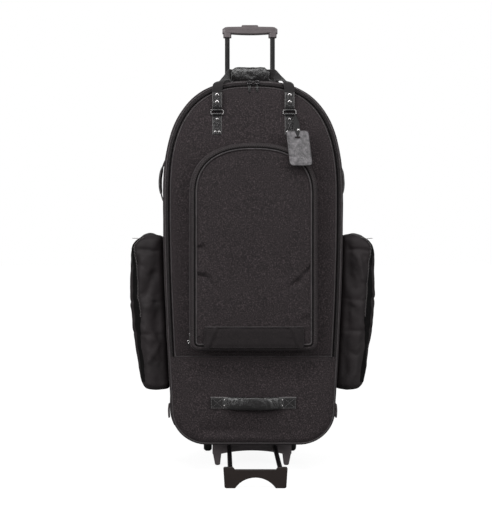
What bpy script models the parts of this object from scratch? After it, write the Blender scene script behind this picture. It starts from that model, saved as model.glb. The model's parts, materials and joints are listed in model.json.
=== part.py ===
import math

import bmesh
import bpy
from mathutils import Vector

# Tuba bag on wheels. Metres, +Z up, the front faces -Y, origin on the floor at the middle of the footprint.

# Clearances
seat = 0.0003          # between parts that touch
running = 0.0006       # between parts that slide or turn in each other

# Bag body
bagTop = 1.185
bagBottom = 0.084
bagDepth = 0.385
halfWidth = 0.2725     # at the shoulder, where the arch springs
shoulderHeight = 0.82
archPower = 2.7
hipHeight = 0.19       # top of the rounded bottom corners
cornerCentre = 0.139
cornerWidth = 0.110
edgeRound = 0.030      # rounding between gusset and front or back
wall = 0.012           # padded wall
backWall = 0.014
backBoardHalf, backBoardTop, backBoardCorner = 0.115, 1.09, 0.03
boardThickness, floorLift = 0.003, 0.012
boardFront, boardBack = 0.050, 0.045     # bottom board, inside the front and back faces
lipAngle = 46.0        # where the tub ends on the front rounding, degrees from the side
zipStart, zipEnd = 47.5, 68.0
rimGap = 1.5           # between tub and lower front panel, in degrees of the rounding
zipThickness = 0.0025
lidThickness = 0.014
seamHeight = 0.352     # fold line of the lid

# Front pocket
pocketHalf = 0.1874
pocketTop = 0.989
pocketShoulder = 0.8355
pocketPower = 2.4
pocketBottom = 0.376
pocketCorner = 0.024
gussetDepth = 0.042
gussetWall = 0.004
coverThickness = 0.013
flatHalf, flatLow, flatHigh, flatThickness = 0.147, 0.383, 0.445, 0.004

# Side pockets
sidePocketLow, sidePocketHigh = 0.244, 0.722
sidePocketFront = 0.048    # behind the front face
sidePocketDepth = 0.270
sidePocketReach = 0.3715   # widest, from the middle
sidePocketRound = 0.028
sidePocketDrawn = 0.010    # its ends are drawn in by this
sidePocketBelly = 0.0385   # narrower by this at the bottom
sidePocketSlope, sidePocketSlopeIn = 0.041, 0.032     # its sloping top edge, down and in

# Trolley
baseHalf = 0.1236
baseFront = 0.145      # behind the front face
baseRear = 0.450
baseTop = bagBottom - 0.0005
baseWall = 0.0045
archCrown, archFoot = 0.047, 0.037
footTopInner, footBottomInner, footBottomOuter = 0.0944, 0.0994, 0.1160
footDepth, footEdge = 0.030, 0.003
towerHeight = 0.135    # rear wall with the tube sockets
wheelRadius = 0.050
wheelWidth = 0.027
wheelBehind = 0.040    # axle behind the back face
hubRadius = 0.036
bearingOuter, bearingBore = 0.011, 0.004
axleRadius = 0.0038
guardThickness = 0.0028

# Telescopic handle
tubeSpacing = 0.151
tubeBehind = 0.0150    # tube axis behind the back face
outerTubeRadius, outerTubeBore = 0.0095, 0.0084
innerTubeRadius, innerTubeBore = 0.0080, 0.0066
bezelLow, bezelHigh, bezelHalf, bezelDepth = 1.105, 1.150, 0.0915, 0.034
gripTop, gripBottom, gripEndBottom = 1.421, 1.398, 1.385
gripHalf, gripDepth = 0.092, 0.027
gripSplit = 1.4095
gripCorner, gripRound, gripBelly, gripArch = 0.015, 0.005, 0.0028, 0.0015
innerTubeLow = 0.880
buttonHalf, buttonDepth, buttonRise = 0.028, 0.012, 0.006
buttonTravel = 0.004

# Pull-out stand
standReach = 0.216     # its front, before the bag's front face
standHalf, standFoot = 0.0907, 0.0860     # half width at the top and at the floor
standThickness, standBevel = 0.012, 0.0016
standTop, standEar = 0.0525, 0.0595
standEarInner, standEarSlope = 0.064, 0.006
standArchHalf, standArchRise = 0.0575, 0.030
rodSpacing, rodRadius = 0.1424, 0.0070
rodHeight, rodSlope = 0.0505, math.radians(1.2)
rodEngaged = 0.050     # how far the rods reach into the base when pulled out

# Carry handle
strapSpacing = 0.2172
webbingWidth, webbingThickness = 0.030, 0.0025
tabWidth, tabTop, tabMiddle, tabLow = 0.029, 1.145, 1.0800, 1.0194
tabThickness = 0.005
loopRadius, barClearance = 0.0045, 0.0020
bottomHandleHalf, bottomHandleFlat, bottomHandleZ, bottomHandleStand = 0.1285, 0.040, 0.2147, 0.022
sideHandleLow, sideHandleHigh, sideHandleStand = 0.800, 0.988, 0.013
grabWidth, bottomGrabThickness, sideGrabThickness = 0.036, 0.005, 0.004
rearLoopLow, rearLoopMiddle = 1.030, 1.090
ringWire, ringWidth, ringHeight = 0.0016, 0.0378, 0.0125
wrapHalf, wrapHeight, wrapThickness, wrapCentre = 0.0605, 0.045, 0.013, 1.2295
strapLift = 0.0037     # the straps stand this far off the lid, over its piping

# Luggage tag
tagHalf, tagLength, tagThickness = 0.033, 0.116, 0.003
tagLean = math.radians(26)     # it leans on the pocket's shoulder
tagX, tagSlotX, tagDrop = 0.1340, 0.1305, 0.058
tagCord = 0.0009

# Zip sliders and pulls
sliderLength, sliderWidth, sliderHeight = 0.012, 0.009, 0.003
pullLength, pullWidth, pullThickness = 0.026, 0.008, 0.002
pullOverlap = 0.002     # of a pull's end on what carries it
sidePullLength, sidePullDrop, sidePullBehind = 0.0190, 0.0125, 0.045
mainSliderX = 0.0115
pocketSliderZ = 0.420

# Shoulder straps and inner pieces
strapPadWidth, strapPadThickness = 0.055, 0.010
strapPadPath = ((0.128, 1.015), (0.134, 0.90), (0.150, 0.78), (0.172, 0.66), (0.188, 0.56), (0.195, 0.49))
tailWidth, tailThickness, tailLift = 0.025, 0.0022, 0.0015
tailPath = ((0.194, 0.50), (0.202, 0.43), (0.216, 0.35), (0.240, 0.285), (0.285, 0.240), (0.345, 0.223), (0.430, 0.215),
            (0.490, 0.208), (0.522, 0.190), (0.532, 0.165), (0.533, 0.138))
adjusterAlong, adjusterZ, adjusterLift = 0.531, 0.180, 0.0038
adjusterSize, adjusterCorner = (0.042, 0.032, 0.009), 0.004
holdHeight, holdWidth = 0.720, 0.038
holdFront, holdBack = 0.040, 0.185     # the hold strap's middle and ends, behind the front face
cradleTop, cradleDip, cradleFront, cradleBack = 0.190, 0.060, 0.055, 0.050

# Places along Y, with the middle of the whole footprint at zero
rearReach = bagDepth + wheelBehind + wheelRadius
frontY = (standReach - rearReach) / 2
backY = frontY + bagDepth
tubeY = backY + tubeBehind
axleY = backY + wheelBehind
middleY = (frontY + backY) / 2

for old in list(bpy.data.objects):
    bpy.data.objects.remove(old, do_unlink=True)


def makeMaterial(name, color, roughness, metallic=0.0):
    mat = bpy.data.materials.new(name)
    mat.use_nodes = True
    shader = mat.node_tree.nodes["Principled BSDF"]
    shader.inputs["Base Color"].default_value = (*color, 1.0)
    shader.inputs["Roughness"].default_value = roughness
    shader.inputs["Metallic"].default_value = metallic
    mat.diffuse_color = (*color, 1.0)
    return mat


cloth = makeMaterial("woven_cloth", (0.035, 0.030, 0.031), 0.85)
nylon = makeMaterial("soft_nylon", (0.024, 0.022, 0.023), 0.70)
webbing = makeMaterial("webbing", (0.030, 0.028, 0.028), 0.80)
hide = makeMaterial("black_leather", (0.020, 0.018, 0.018), 0.38)
tagHide = makeMaterial("grey_leather", (0.155, 0.150, 0.155), 0.50)
moulded = makeMaterial("moulded_plastic", (0.034, 0.031, 0.031), 0.45)
standPlastic = makeMaterial("stand_plastic", (0.028, 0.023, 0.021), 0.40)
tyreRubber = makeMaterial("wheel_rubber", (0.020, 0.020, 0.020), 0.60)
steel = makeMaterial("steel", (0.55, 0.55, 0.56), 0.28, 1.0)
darkTube = makeMaterial("dark_anodised", (0.060, 0.060, 0.062), 0.35, 1.0)
zipTape = makeMaterial("zip_chain", (0.018, 0.018, 0.018), 0.55)
foam = makeMaterial("lining_foam", (0.060, 0.058, 0.058), 0.90)
boardPlastic = makeMaterial("board_plastic", (0.045, 0.045, 0.045), 0.60)


# Building blocks

def keep(name, bm, mat, angle=35.0):
    """The mesh as an object of its own, shaded smooth up to this angle."""
    bmesh.ops.remove_doubles(bm, verts=bm.verts, dist=1e-6)
    bmesh.ops.recalc_face_normals(bm, faces=bm.faces)
    mesh = bpy.data.meshes.new(name)
    bm.to_mesh(mesh)
    bm.free()
    mesh.materials.append(mat)
    mesh.shade_smooth()
    mesh.set_sharp_from_angle(angle=math.radians(angle))
    obj = bpy.data.objects.new(name, mesh)
    bpy.context.scene.collection.objects.link(obj)
    return obj


def bridge(bm, one, other):
    count = len(one)
    for i in range(count):
        j = (i + 1) % count
        bm.faces.new((one[i], one[j], other[j], other[i]))


def loft(name, sections, mat, angle=35.0, closed=False):
    """Closed outlines of equal length, joined one after the other; open ones get end caps."""
    bm = bmesh.new()
    rings = [[bm.verts.new(p) for p in section] for section in sections]
    for one, other in zip(rings, rings[1:]):
        bridge(bm, one, other)
    if closed:
        bridge(bm, rings[-1], rings[0])
    else:
        bm.faces.new(rings[0])
        bm.faces.new(rings[-1][::-1])
    return keep(name, bm, mat, angle)


def prismX(name, outline, low, high, mat, angle=35.0):
    """An outline of (y, z) pushed along X."""
    return loft(name, [[(x, y, z) for y, z in outline] for x in (low, high)], mat, angle)


def prismY(name, outline, low, high, mat, angle=35.0):
    """An outline of (x, z) pushed along Y."""
    return loft(name, [[(x, y, z) for x, z in outline] for y in (low, high)], mat, angle)


def prismZ(name, outline, low, high, mat, angle=35.0):
    """An outline of (x, y) pushed along Z."""
    return loft(name, [[(x, y, z) for x, y in outline] for z in (low, high)], mat, angle)


def box(name, low, high, mat):
    outline = [(low[0], low[1]), (high[0], low[1]), (high[0], high[1]), (low[0], high[1])]
    return prismZ(name, outline, low[2], high[2], mat)


def turned(name, profile, centre, mat, steps=24):
    """A closed profile of (x, radius) turned round the X axis through centre."""
    sections = []
    for i in range(steps):
        a = 2 * math.pi * i / steps
        sections.append([(centre[0] + x, centre[1] + r * math.cos(a), centre[2] + r * math.sin(a))
                         for x, r in profile])
    return loft(name, sections, mat, closed=True)


def circle(cx, cy, radius, steps=16, start=0.0):
    return [(cx + radius * math.cos(start + 2 * math.pi * i / steps),
             cy + radius * math.sin(start + 2 * math.pi * i / steps)) for i in range(steps)]


def roundedBox(cx, cy, halfX, halfY, radius, steps=4):
    """A rounded rectangle as (x, y), anticlockwise."""
    points = []
    for quarter, (sx, sy) in enumerate(((1, 1), (-1, 1), (-1, -1), (1, -1))):
        for i in range(steps + 1):
            a = math.pi / 2 * (quarter + i / steps)
            points.append((cx + sx * (halfX - radius) + radius * math.cos(a),
                           cy + sy * (halfY - radius) + radius * math.sin(a)))
    return points


def rod(name, start, end, radius, mat, steps=16):
    """A straight round bar between two points."""
    start, end = Vector(start), Vector(end)
    along = (end - start).normalized()
    side = along.cross(Vector((0, 0, 1)) if abs(along.z) < 0.9 else Vector((1, 0, 0))).normalized()
    other = along.cross(side)
    sections = []
    for p in (start, end):
        sections.append([p + side * x + other * y for x, y in circle(0, 0, radius, steps)])
    return loft(name, sections, mat)


def shrunk(outline, amount):
    """A closed outline of (a, b) drawn in evenly, for a softened edge; the outline runs clockwise."""
    points = []
    for i, (a, b) in enumerate(outline):
        before, after = outline[i - 1], outline[(i + 1) % len(outline)]
        one = Vector((a - before[0], b - before[1])).normalized()
        other = Vector((after[0] - a, after[1] - b)).normalized()
        out = Vector((-one.y - other.y, one.x + other.x)).normalized()
        reach = amount / max(0.5, out.dot(Vector((-one.y, one.x))))
        points.append((a - out.x * reach, b - out.y * reach))
    return points


def smoothPath(points, steps):
    """A Catmull-Rom curve through the points."""
    points = [Vector(p) for p in points]
    padded = [2 * points[0] - points[1], *points, 2 * points[-1] - points[-2]]
    path = []
    for a, b, c, d in zip(padded, padded[1:], padded[2:], padded[3:]):
        for i in range(steps):
            t = i / steps
            path.append(0.5 * (2 * b + (c - a) * t + (2 * a - 5 * b + 4 * c - d) * t * t
                               + (3 * b - a - 3 * c + d) * t ** 3))
    path.append(points[-1])
    return path


def ribbon(name, path, acrossOf, width, thickness, mat):
    """A flat strap along a path; acrossOf gives the direction across it from place and tangent."""
    sections = []
    for i, p in enumerate(path):
        tangent = (path[min(i + 1, len(path) - 1)] - path[max(i - 1, 0)]).normalized()
        across = acrossOf(p, tangent).normalized()
        normal = tangent.cross(across).normalized()
        a, n = across * width / 2, normal * thickness / 2
        sections.append([p - a - n, p + a - n, p + a + n, p - a + n])
    return loft(name, sections, mat)


def twistedRibbon(name, path, across, width, thickness, mat):
    """A flat strap along path, with the direction that it lies across at each point."""
    sections = []
    for i, p in enumerate(path):
        tangent = (path[min(i + 1, len(path) - 1)] - path[max(i - 1, 0)]).normalized()
        side = (across[i] - tangent * across[i].dot(tangent)).normalized()
        normal = tangent.cross(side)
        a, n = side * width / 2, normal * thickness / 2
        sections.append([p - a - n, p + a - n, p + a + n, p - a + n])
    return loft(name, sections, mat)


def carve(target, other, operation="DIFFERENCE"):
    """Applies a Boolean with another object, which is used up."""
    cut = target.modifiers.new("cut", "BOOLEAN")
    cut.operation = operation
    cut.solver = "EXACT"
    cut.object = other
    bpy.context.view_layer.objects.active = target
    bpy.ops.object.modifier_apply(modifier=cut.name)
    bpy.data.objects.remove(other, do_unlink=True)
    target.data.shade_smooth()
    target.data.set_sharp_from_angle(angle=math.radians(35))
    return target


def join(target, *others):
    for other in others:
        carve(target, other, "UNION")
    return target


def sideName(side):
    return "left" if side < 0 else "right"


# Bag body

def bagOutline(inset, cornerSteps=7, sideSteps=6, archSteps=13):
    """The bag's outline in (x, z), from the bottom up the right side and down the left."""
    hip = cornerCentre + cornerWidth
    right = []
    for i in range(cornerSteps + 1):
        a = math.pi / 2 * i / cornerSteps
        right.append((cornerCentre + (cornerWidth - inset) * math.sin(a),
                      hipHeight - (hipHeight - bagBottom - inset) * math.cos(a)))
    for i in range(1, sideSteps):
        f = i / sideSteps
        right.append((hip + (halfWidth - hip) * math.sin(f * math.pi / 2) - inset,
                      hipHeight + (shoulderHeight - hipHeight) * f))
    for i in range(archSteps):
        a = math.pi / 2 * i / archSteps
        right.append(((halfWidth - inset) * math.cos(a) ** (2 / archPower),
                      shoulderHeight + (bagTop - shoulderHeight - inset) * math.sin(a) ** (2 / archPower)))
    left = [(-x, z) for x, z in reversed(right)]
    return [*right, (0, bagTop - inset), *left, (0, bagBottom + inset)]


def sideX(z, inset=0.0):
    """Half the bag's width at a height, on the same facets as its solid."""
    half = [p for p in bagOutline(inset) if p[0] > 0]
    for (xa, za), (xb, zb) in zip(half, half[1:]):
        if za <= z <= zb:
            return xa + (xb - xa) * (z - za) / (zb - za)
    return half[-1][0]


def topZ(x, inset=0.0):
    """The height of the bag's top at a distance from the middle, on the same facets."""
    half = [p for p in bagOutline(inset) if p[0] >= 0 and p[1] > shoulderHeight]
    for (xa, za), (xb, zb) in zip(half, half[1:]):
        if xb <= abs(x) <= xa:
            return za + (zb - za) * (xa - abs(x)) / (xa - xb)
    return half[-1][1]


def onRound(angle, radius):
    """Inset and depth of a point on the front rounding, its angle counted from the side."""
    a = math.radians(angle)
    return edgeRound - radius * math.cos(a), frontY + edgeRound - radius * math.sin(a)


def ringAt(inset, y):
    return [(x, y, z) for x, z in bagOutline(inset)]


def above(outline, height):
    """The part of a closed (x, z) outline above a height, cut level there; it starts at the lower right."""
    kept = [p for p in outline if p[1] > height + 1e-6]
    lowest = min((p for p in kept if p[0] > 0), key=lambda p: p[1])
    start = kept.index(lowest)
    kept = kept[start:] + kept[:start]
    edge = None
    for (xa, za), (xb, zb) in zip(outline, outline[1:]):
        if xa > 0 and za <= height < zb:
            edge = xa + (xb - xa) * (height - za) / (zb - za)
    return [(edge, height), *kept, (-edge, height)]


def below(outline, height, inset):
    """The part of the bag's outline under a height, cut level there."""
    edge = sideX(height, inset)
    right = [p for p in outline if p[1] < height - 1e-6 and p[0] > 0]
    left = [(-x, z) for x, z in reversed(right)]
    return [(0, outline[-1][1]), *right, (edge, height), (-edge, height), *left]


def makeTub():
    """Padded gusset and back in one shell, open at the front."""
    outer = []
    for i in range(5):
        outer.append(ringAt(*onRound(lipAngle * (1 - i / 4), edgeRound)))
    for i in range(5):
        a = math.radians(90 * i / 4)
        outer.append(ringAt(edgeRound - edgeRound * math.cos(a), backY - edgeRound + edgeRound * math.sin(a)))
    inner = []
    for angle in (lipAngle, lipAngle / 2, 0):
        inner.append(ringAt(*onRound(angle, edgeRound - wall)))
    inner.append(ringAt(wall, backY - backWall - 0.012))
    inner.append(ringAt(wall + 0.012, backY - backWall))
    bm = bmesh.new()
    outerRings = [[bm.verts.new(p) for p in section] for section in outer]
    innerRings = [[bm.verts.new(p) for p in section] for section in inner]
    for rings in (outerRings, innerRings):
        for one, other in zip(rings, rings[1:]):
            bridge(bm, one, other)
        bm.faces.new(rings[-1])
    bridge(bm, outerRings[0], innerRings[0])
    return keep("tub_shell", bm, cloth)


def frontBand(name, startAngle, endAngle, thickness, mat):
    """A strip along the front rounding above the lid's fold line."""
    corners = (onRound(startAngle, edgeRound), onRound(endAngle, edgeRound),
               onRound(endAngle, edgeRound - thickness), onRound(startAngle, edgeRound - thickness))
    rows = []
    for inset, y in corners:
        rows.append([(x, y, z) for x, z in above(bagOutline(inset), seamHeight + seat)])
    return loft(name, list(zip(*rows)), mat)


def makeLowerFront():
    """The fixed panel below the fold line, with its own rounded rim."""
    start = lipAngle + rimGap
    rows = [onRound(start, edgeRound - lidThickness), onRound(start, edgeRound), onRound(68, edgeRound),
            onRound(90, edgeRound)]
    sections = []
    for inset, y in rows:
        sections.append([(x, y, z) for x, z in below(bagOutline(inset), seamHeight - seat, inset)])
    loft("lower_front_panel", sections, cloth)


cradleHalf = cornerCentre - 0.004


def makeBag():
    makeTub()
    frontBand("main_zip", zipStart, zipEnd, zipThickness, zipTape)
    makeLowerFront()
    boardLow = bagBottom + wall + seat
    boardHigh = bagBottom + wall + floorLift - 0.005
    box("bottom_board", (-cornerCentre, frontY + boardFront, boardLow), (cornerCentre, backY - boardBack, boardHigh),
        boardPlastic)
    dip = [(cradleHalf, cradleTop)]
    for i in range(1, 12):
        f = 1 - 2 * i / 12
        dip.append((cradleHalf * 0.86 * f, cradleTop - cradleDip * math.cos(f * math.pi / 2)))
    dip.append((-cradleHalf, cradleTop))
    low = boardHigh + seat
    prismY("bottom_cradle", [(-cradleHalf, low), (cradleHalf, low), *dip], frontY + cradleFront, backY - cradleBack, foam)
    low = bagBottom + wall + floorLift
    shape = roundedBox(0, (low + backBoardTop) / 2, backBoardHalf, (backBoardTop - low) / 2, backBoardCorner)
    back = backY - backWall - seat
    prismY("back_board", shape, back - boardThickness, back, boardPlastic)


lidInset = onRound(zipEnd, edgeRound - zipThickness)[0] + running


def makeLid():
    outline = above(bagOutline(lidInset), seamHeight + running)
    outer = [(x, frontY, z) for x, z in outline]
    inner = [(x, frontY + lidThickness, z) for x, z in outline]
    loft("lid_panel", [outer, inner], cloth)


# Front pocket

def pocketOutline(inset, archSteps=10, cornerSteps=3):
    right = []
    for i in range(cornerSteps + 1):
        a = math.pi / 2 * i / cornerSteps
        r = pocketCorner - inset
        right.append((pocketHalf - pocketCorner + r * math.sin(a), pocketBottom + pocketCorner - r * math.cos(a)))
    for i in range(archSteps):
        a = math.pi / 2 * i / archSteps
        right.append(((pocketHalf - inset) * math.cos(a) ** (2 / pocketPower),
                      pocketShoulder + (pocketTop - pocketShoulder - inset) * math.sin(a) ** (2 / pocketPower)))
    left = [(-x, z) for x, z in reversed(right)]
    return [*right, (0, pocketTop - inset), *left]


pocketBack = frontY - seat
gussetFront = pocketBack - gussetDepth
coverBack = gussetFront - running
coverFront = coverBack - coverThickness


def makePocket():
    """A tray sewn on the lid, and the cover that closes it."""
    bm = bmesh.new()
    rows = ((0, pocketBack), (0, gussetFront), (gussetWall, gussetFront), (gussetWall, pocketBack - gussetWall))
    rings = [[bm.verts.new((x, y, z)) for x, z in pocketOutline(inset)] for inset, y in rows]
    for one, other in zip(rings, rings[1:]):
        bridge(bm, one, other)
    bm.faces.new(rings[0])
    bm.faces.new(rings[-1])
    keep("pocket_gusset", bm, cloth)
    rows = ((0, coverBack), (0, coverBack - 0.004), (0.0035, coverFront + 0.0025), (0.010, coverFront))
    loft("pocket_cover", [[(x, y, z) for x, z in pocketOutline(inset)] for inset, y in rows], cloth)
    flatFront = coverFront - seat - flatThickness
    middle = (flatLow + flatHigh) / 2
    shape = roundedBox(0, middle, flatHalf, (flatHigh - flatLow) / 2, 0.012)
    prismY("flat_pocket", shape, flatFront, coverFront - seat, cloth)


# Side pockets

def sidePocketOuter(z):
    """How far the pocket stands out at a height: fuller above the middle, drawn in at both ends."""
    f = (z - sidePocketLow) / (sidePocketHigh - sidePocketLow)
    belly = sidePocketBelly * (1 - math.sin(math.pi / 2 * min(1, f / 0.70)))
    slope = sidePocketSlopeIn * max(0, (z - sidePocketHigh + sidePocketSlope) / sidePocketSlope) ** 1.2
    return sidePocketReach - belly - slope


def makeSidePocket(side):
    heights = {sidePocketLow, sidePocketLow + sidePocketDrawn, sidePocketHigh - 0.012, sidePocketHigh}
    heights |= {sidePocketLow + (sidePocketHigh - sidePocketLow) * i / 10 for i in range(1, 10)}
    heights |= {sidePocketHigh - sidePocketSlope * f for f in (1, 0.75, 0.5)}
    heights |= {z for x, z in bagOutline(0) if x > 0 and sidePocketLow < z < sidePocketHigh}
    sections = []
    for z in sorted(heights):
        end = z in (sidePocketLow, sidePocketHigh)
        drawn = sidePocketDrawn if end else 0.0
        inner = sideX(z) + seat
        outer = sidePocketOuter(z) - drawn
        front = frontY + sidePocketFront + drawn
        back = front + sidePocketDepth - 2 * drawn
        points = [(inner, back), (inner, front)]
        r = sidePocketRound
        for i in range(5):
            a = math.pi / 2 * i / 4
            points.append((outer - r + r * math.sin(a), front + r - r * math.cos(a)))
        for i in range(5):
            a = math.pi / 2 * i / 4
            points.append((outer - r + r * math.cos(a), back - r + r * math.sin(a)))
        sections.append([(side * x, y, z) for x, y in points])
    loft("side_pocket_" + sideName(side), sections, nylon)


def makeSideHandle(side):
    """Strap loop on the gusset, standing off in its middle."""
    path = []
    for i in range(15):
        f = i / 14
        z = sideHandleLow + (sideHandleHigh - sideHandleLow) * f
        lift = sideHandleStand * max(0.0, math.sin(math.pi * min(1, max(0, (f - 0.14) / 0.72)))) ** 0.7
        path.append(Vector((side * (sideX(z) + 2 * seat + sideGrabThickness / 2 + lift), middleY, z)))
    ribbon("side_handle_" + sideName(side), path, lambda p, t: Vector((0, 1, 0)), grabWidth, sideGrabThickness, hide)


def makeBottomHandle():
    """Leather grab strap across the lower front, its middle standing off."""
    half, flat = bottomHandleHalf, bottomHandleFlat
    path = []
    for i in range(19):
        x = -half + 2 * half * i / 18
        f = min(1.0, max(0.0, (half - abs(x) - flat) / (half - flat)))
        y = frontY - seat - bottomGrabThickness / 2 - bottomHandleStand * math.sin(f * math.pi / 2) ** 0.8
        path.append(Vector((x, y, bottomHandleZ)))
    ribbon("bottom_handle", path, lambda p, t: Vector((0, 0, 1)), grabWidth, bottomGrabThickness, hide)


# Carry handle

def tabOutline(centreY, centreZ, radius, leftY, rightY, endZ):
    """A tab with a loop round a bar at one end, in (y, z); endZ may lie above or below the bar."""
    turn = 1 if endZ < centreZ else -1
    start = -math.acos(min(1.0, (rightY - centreY) / radius))
    stop = 2 * math.pi - math.acos(max(-1.0, (leftY - centreY) / radius))
    points = [(rightY, endZ)]
    for i in range(13):
        a = start + (stop - start) * i / 12
        points.append((centreY + radius * math.cos(a), centreZ + turn * radius * math.sin(a)))
    points.append((leftY, endZ))
    return points


barY = frontY - seat - loopRadius
lowerBarZ = tabMiddle
upperBarZ = lowerBarZ + ringHeight
wrapY = middleY - 0.009


def makeRing(side, x):
    half = ringWidth / 2
    shape = roundedBox(x, (lowerBarZ + upperBarZ) / 2, half, ringHeight / 2, 0.0022, 2)
    path = [Vector((px, barY, pz)) for px, pz in shape]
    sections = []
    for i, p in enumerate(path):
        tangent = (path[(i + 1) % len(path)] - path[i - 1]).normalized()
        out = tangent.cross(Vector((0, 1, 0)))
        sections.append([p + out * u + Vector((0, 1, 0)) * v for u, v in circle(0, 0, ringWire, 8)])
    loft("ring_" + sideName(side), sections, steel, closed=True)


def makeTabs(side, x):
    low, high = x - tabWidth / 2, x + tabWidth / 2
    back = frontY - seat
    lower = prismX("lower_tab_" + sideName(side),
                   tabOutline(barY, lowerBarZ, loopRadius, back - tabThickness, back, tabLow), low, high, hide)
    upperBack = back - strapLift - webbingThickness - seat
    upper = prismX("upper_tab_" + sideName(side),
                   tabOutline(barY, upperBarZ, loopRadius, upperBack - webbingThickness, upperBack, tabTop),
                   low, high, hide)
    for tab, z in ((lower, lowerBarZ), (upper, upperBarZ)):
        carve(tab, rod("bore", (low - 0.01, barY, z), (high + 0.01, barY, z), barClearance, hide, 12))


def carryStrap(name, right, leans, loopY):
    """One of the handle's straps, from its right end up through the wrap and down the left side."""
    points = smoothPath([*right, (wrapHalf + 0.003, loopY, wrapCentre)], 3) + [Vector((wrapHalf + 0.001, loopY, wrapCentre))]
    across = smoothPath([*leans, (0, 0, 1)], 3) + [Vector((0, 0, 1))]
    points += [Vector((-p.x, p.y, p.z)) for p in reversed(points)]
    across += [Vector((-a.x, a.y, a.z)) for a in reversed(across)]
    twistedRibbon(name, points, across, webbingWidth, webbingThickness, webbing)


def makeCarryHandle():
    x = strapSpacing / 2
    for side in (-1, 1):
        makeRing(side, side * x)
        makeTabs(side, side * x)
    half = webbingThickness / 2
    strapY = frontY - seat - strapLift - half
    crestZ = topZ(x - webbingWidth * 0.8) + 2 * seat + half
    right = [(x, strapY, upperBarZ + 0.0062), (x, strapY, upperBarZ + 0.030), (x, strapY, tabTop + 0.002),
             (x - 0.001, strapY + 0.001, crestZ - 0.012), (x - 0.006, frontY + 0.008, crestZ + 0.003),
             (x - 0.018, frontY + 0.034, crestZ + 0.012), (x - 0.029, frontY + 0.085, crestZ + 0.025),
             (wrapHalf + 0.011, wrapY - 0.013, wrapCentre - 0.002)]
    leans = [(1, 0, 0), (1, 0, 0), (1, 0, 0), (1, 0.05, -0.10), (0.97, 0.25, -0.16), (0.88, 0.42, -0.02),
             (0.66, 0.05, 0.60), (0.12, -0.10, 0.98)]
    carryStrap("carry_webbing", right, leans, wrapY)
    outer = [(y, z) for y, z in roundedBox(wrapY, wrapCentre, wrapThickness / 2, wrapHeight / 2, 0.0055, 3)]
    slotHalf = webbingThickness / 2 + 0.0008
    slot = [(y, z) for y, z in roundedBox(wrapY, wrapCentre, slotHalf, webbingWidth / 2 + 0.0008, 0.0008, 3)]
    rows = []
    for px, shrink in ((-wrapHalf, 0.003), (-wrapHalf + 0.006, 0), (wrapHalf - 0.006, 0), (wrapHalf, 0.003)):
        rows.append([(px, wrapY + (y - wrapY) * (1 - shrink / 0.02), wrapCentre + (z - wrapCentre) * (1 - shrink / 0.02))
                     for y, z in outer])
    bm = bmesh.new()
    shell = [[bm.verts.new(p) for p in row] for row in rows]
    bore = [[bm.verts.new((px, y, z)) for y, z in slot] for px in (-wrapHalf, wrapHalf)]
    for one, other in zip(shell, shell[1:]):
        bridge(bm, one, other)
    bridge(bm, bore[0], bore[1])
    bridge(bm, shell[0], bore[0])
    bridge(bm, shell[-1], bore[-1])
    keep("grip_wrap", bm, hide)


def makeRearLoop():
    """The back's half of the carry handle, sewn on the back panel."""
    x = strapSpacing / 2
    half = webbingThickness / 2
    strapY = backY + 2 * seat + half
    crestZ = topZ(x - webbingWidth * 0.8) + 2 * seat + half
    edge = topZ(x, edgeRound)
    loopY = wrapY + wrapThickness / 2 + 2 * seat + half
    right = [(x, strapY, rearLoopLow), (x, strapY, rearLoopMiddle), (x, strapY + 0.001, edge - 0.004),
             (x - 0.001, backY - 0.005, crestZ - 0.003), (x - 0.012, backY - 0.034, crestZ + 0.012),
             (x - 0.027, backY - 0.095, crestZ + 0.026), (wrapHalf + 0.012, loopY + 0.013, wrapCentre - 0.002)]
    leans = [(1, 0, 0), (1, 0, 0), (1, 0, 0), (0.97, -0.20, -0.16), (0.88, -0.40, -0.04), (0.66, -0.05, 0.60),
             (0.12, 0.10, 0.98)]
    carryStrap("rear_webbing", right, leans, loopY)


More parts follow.
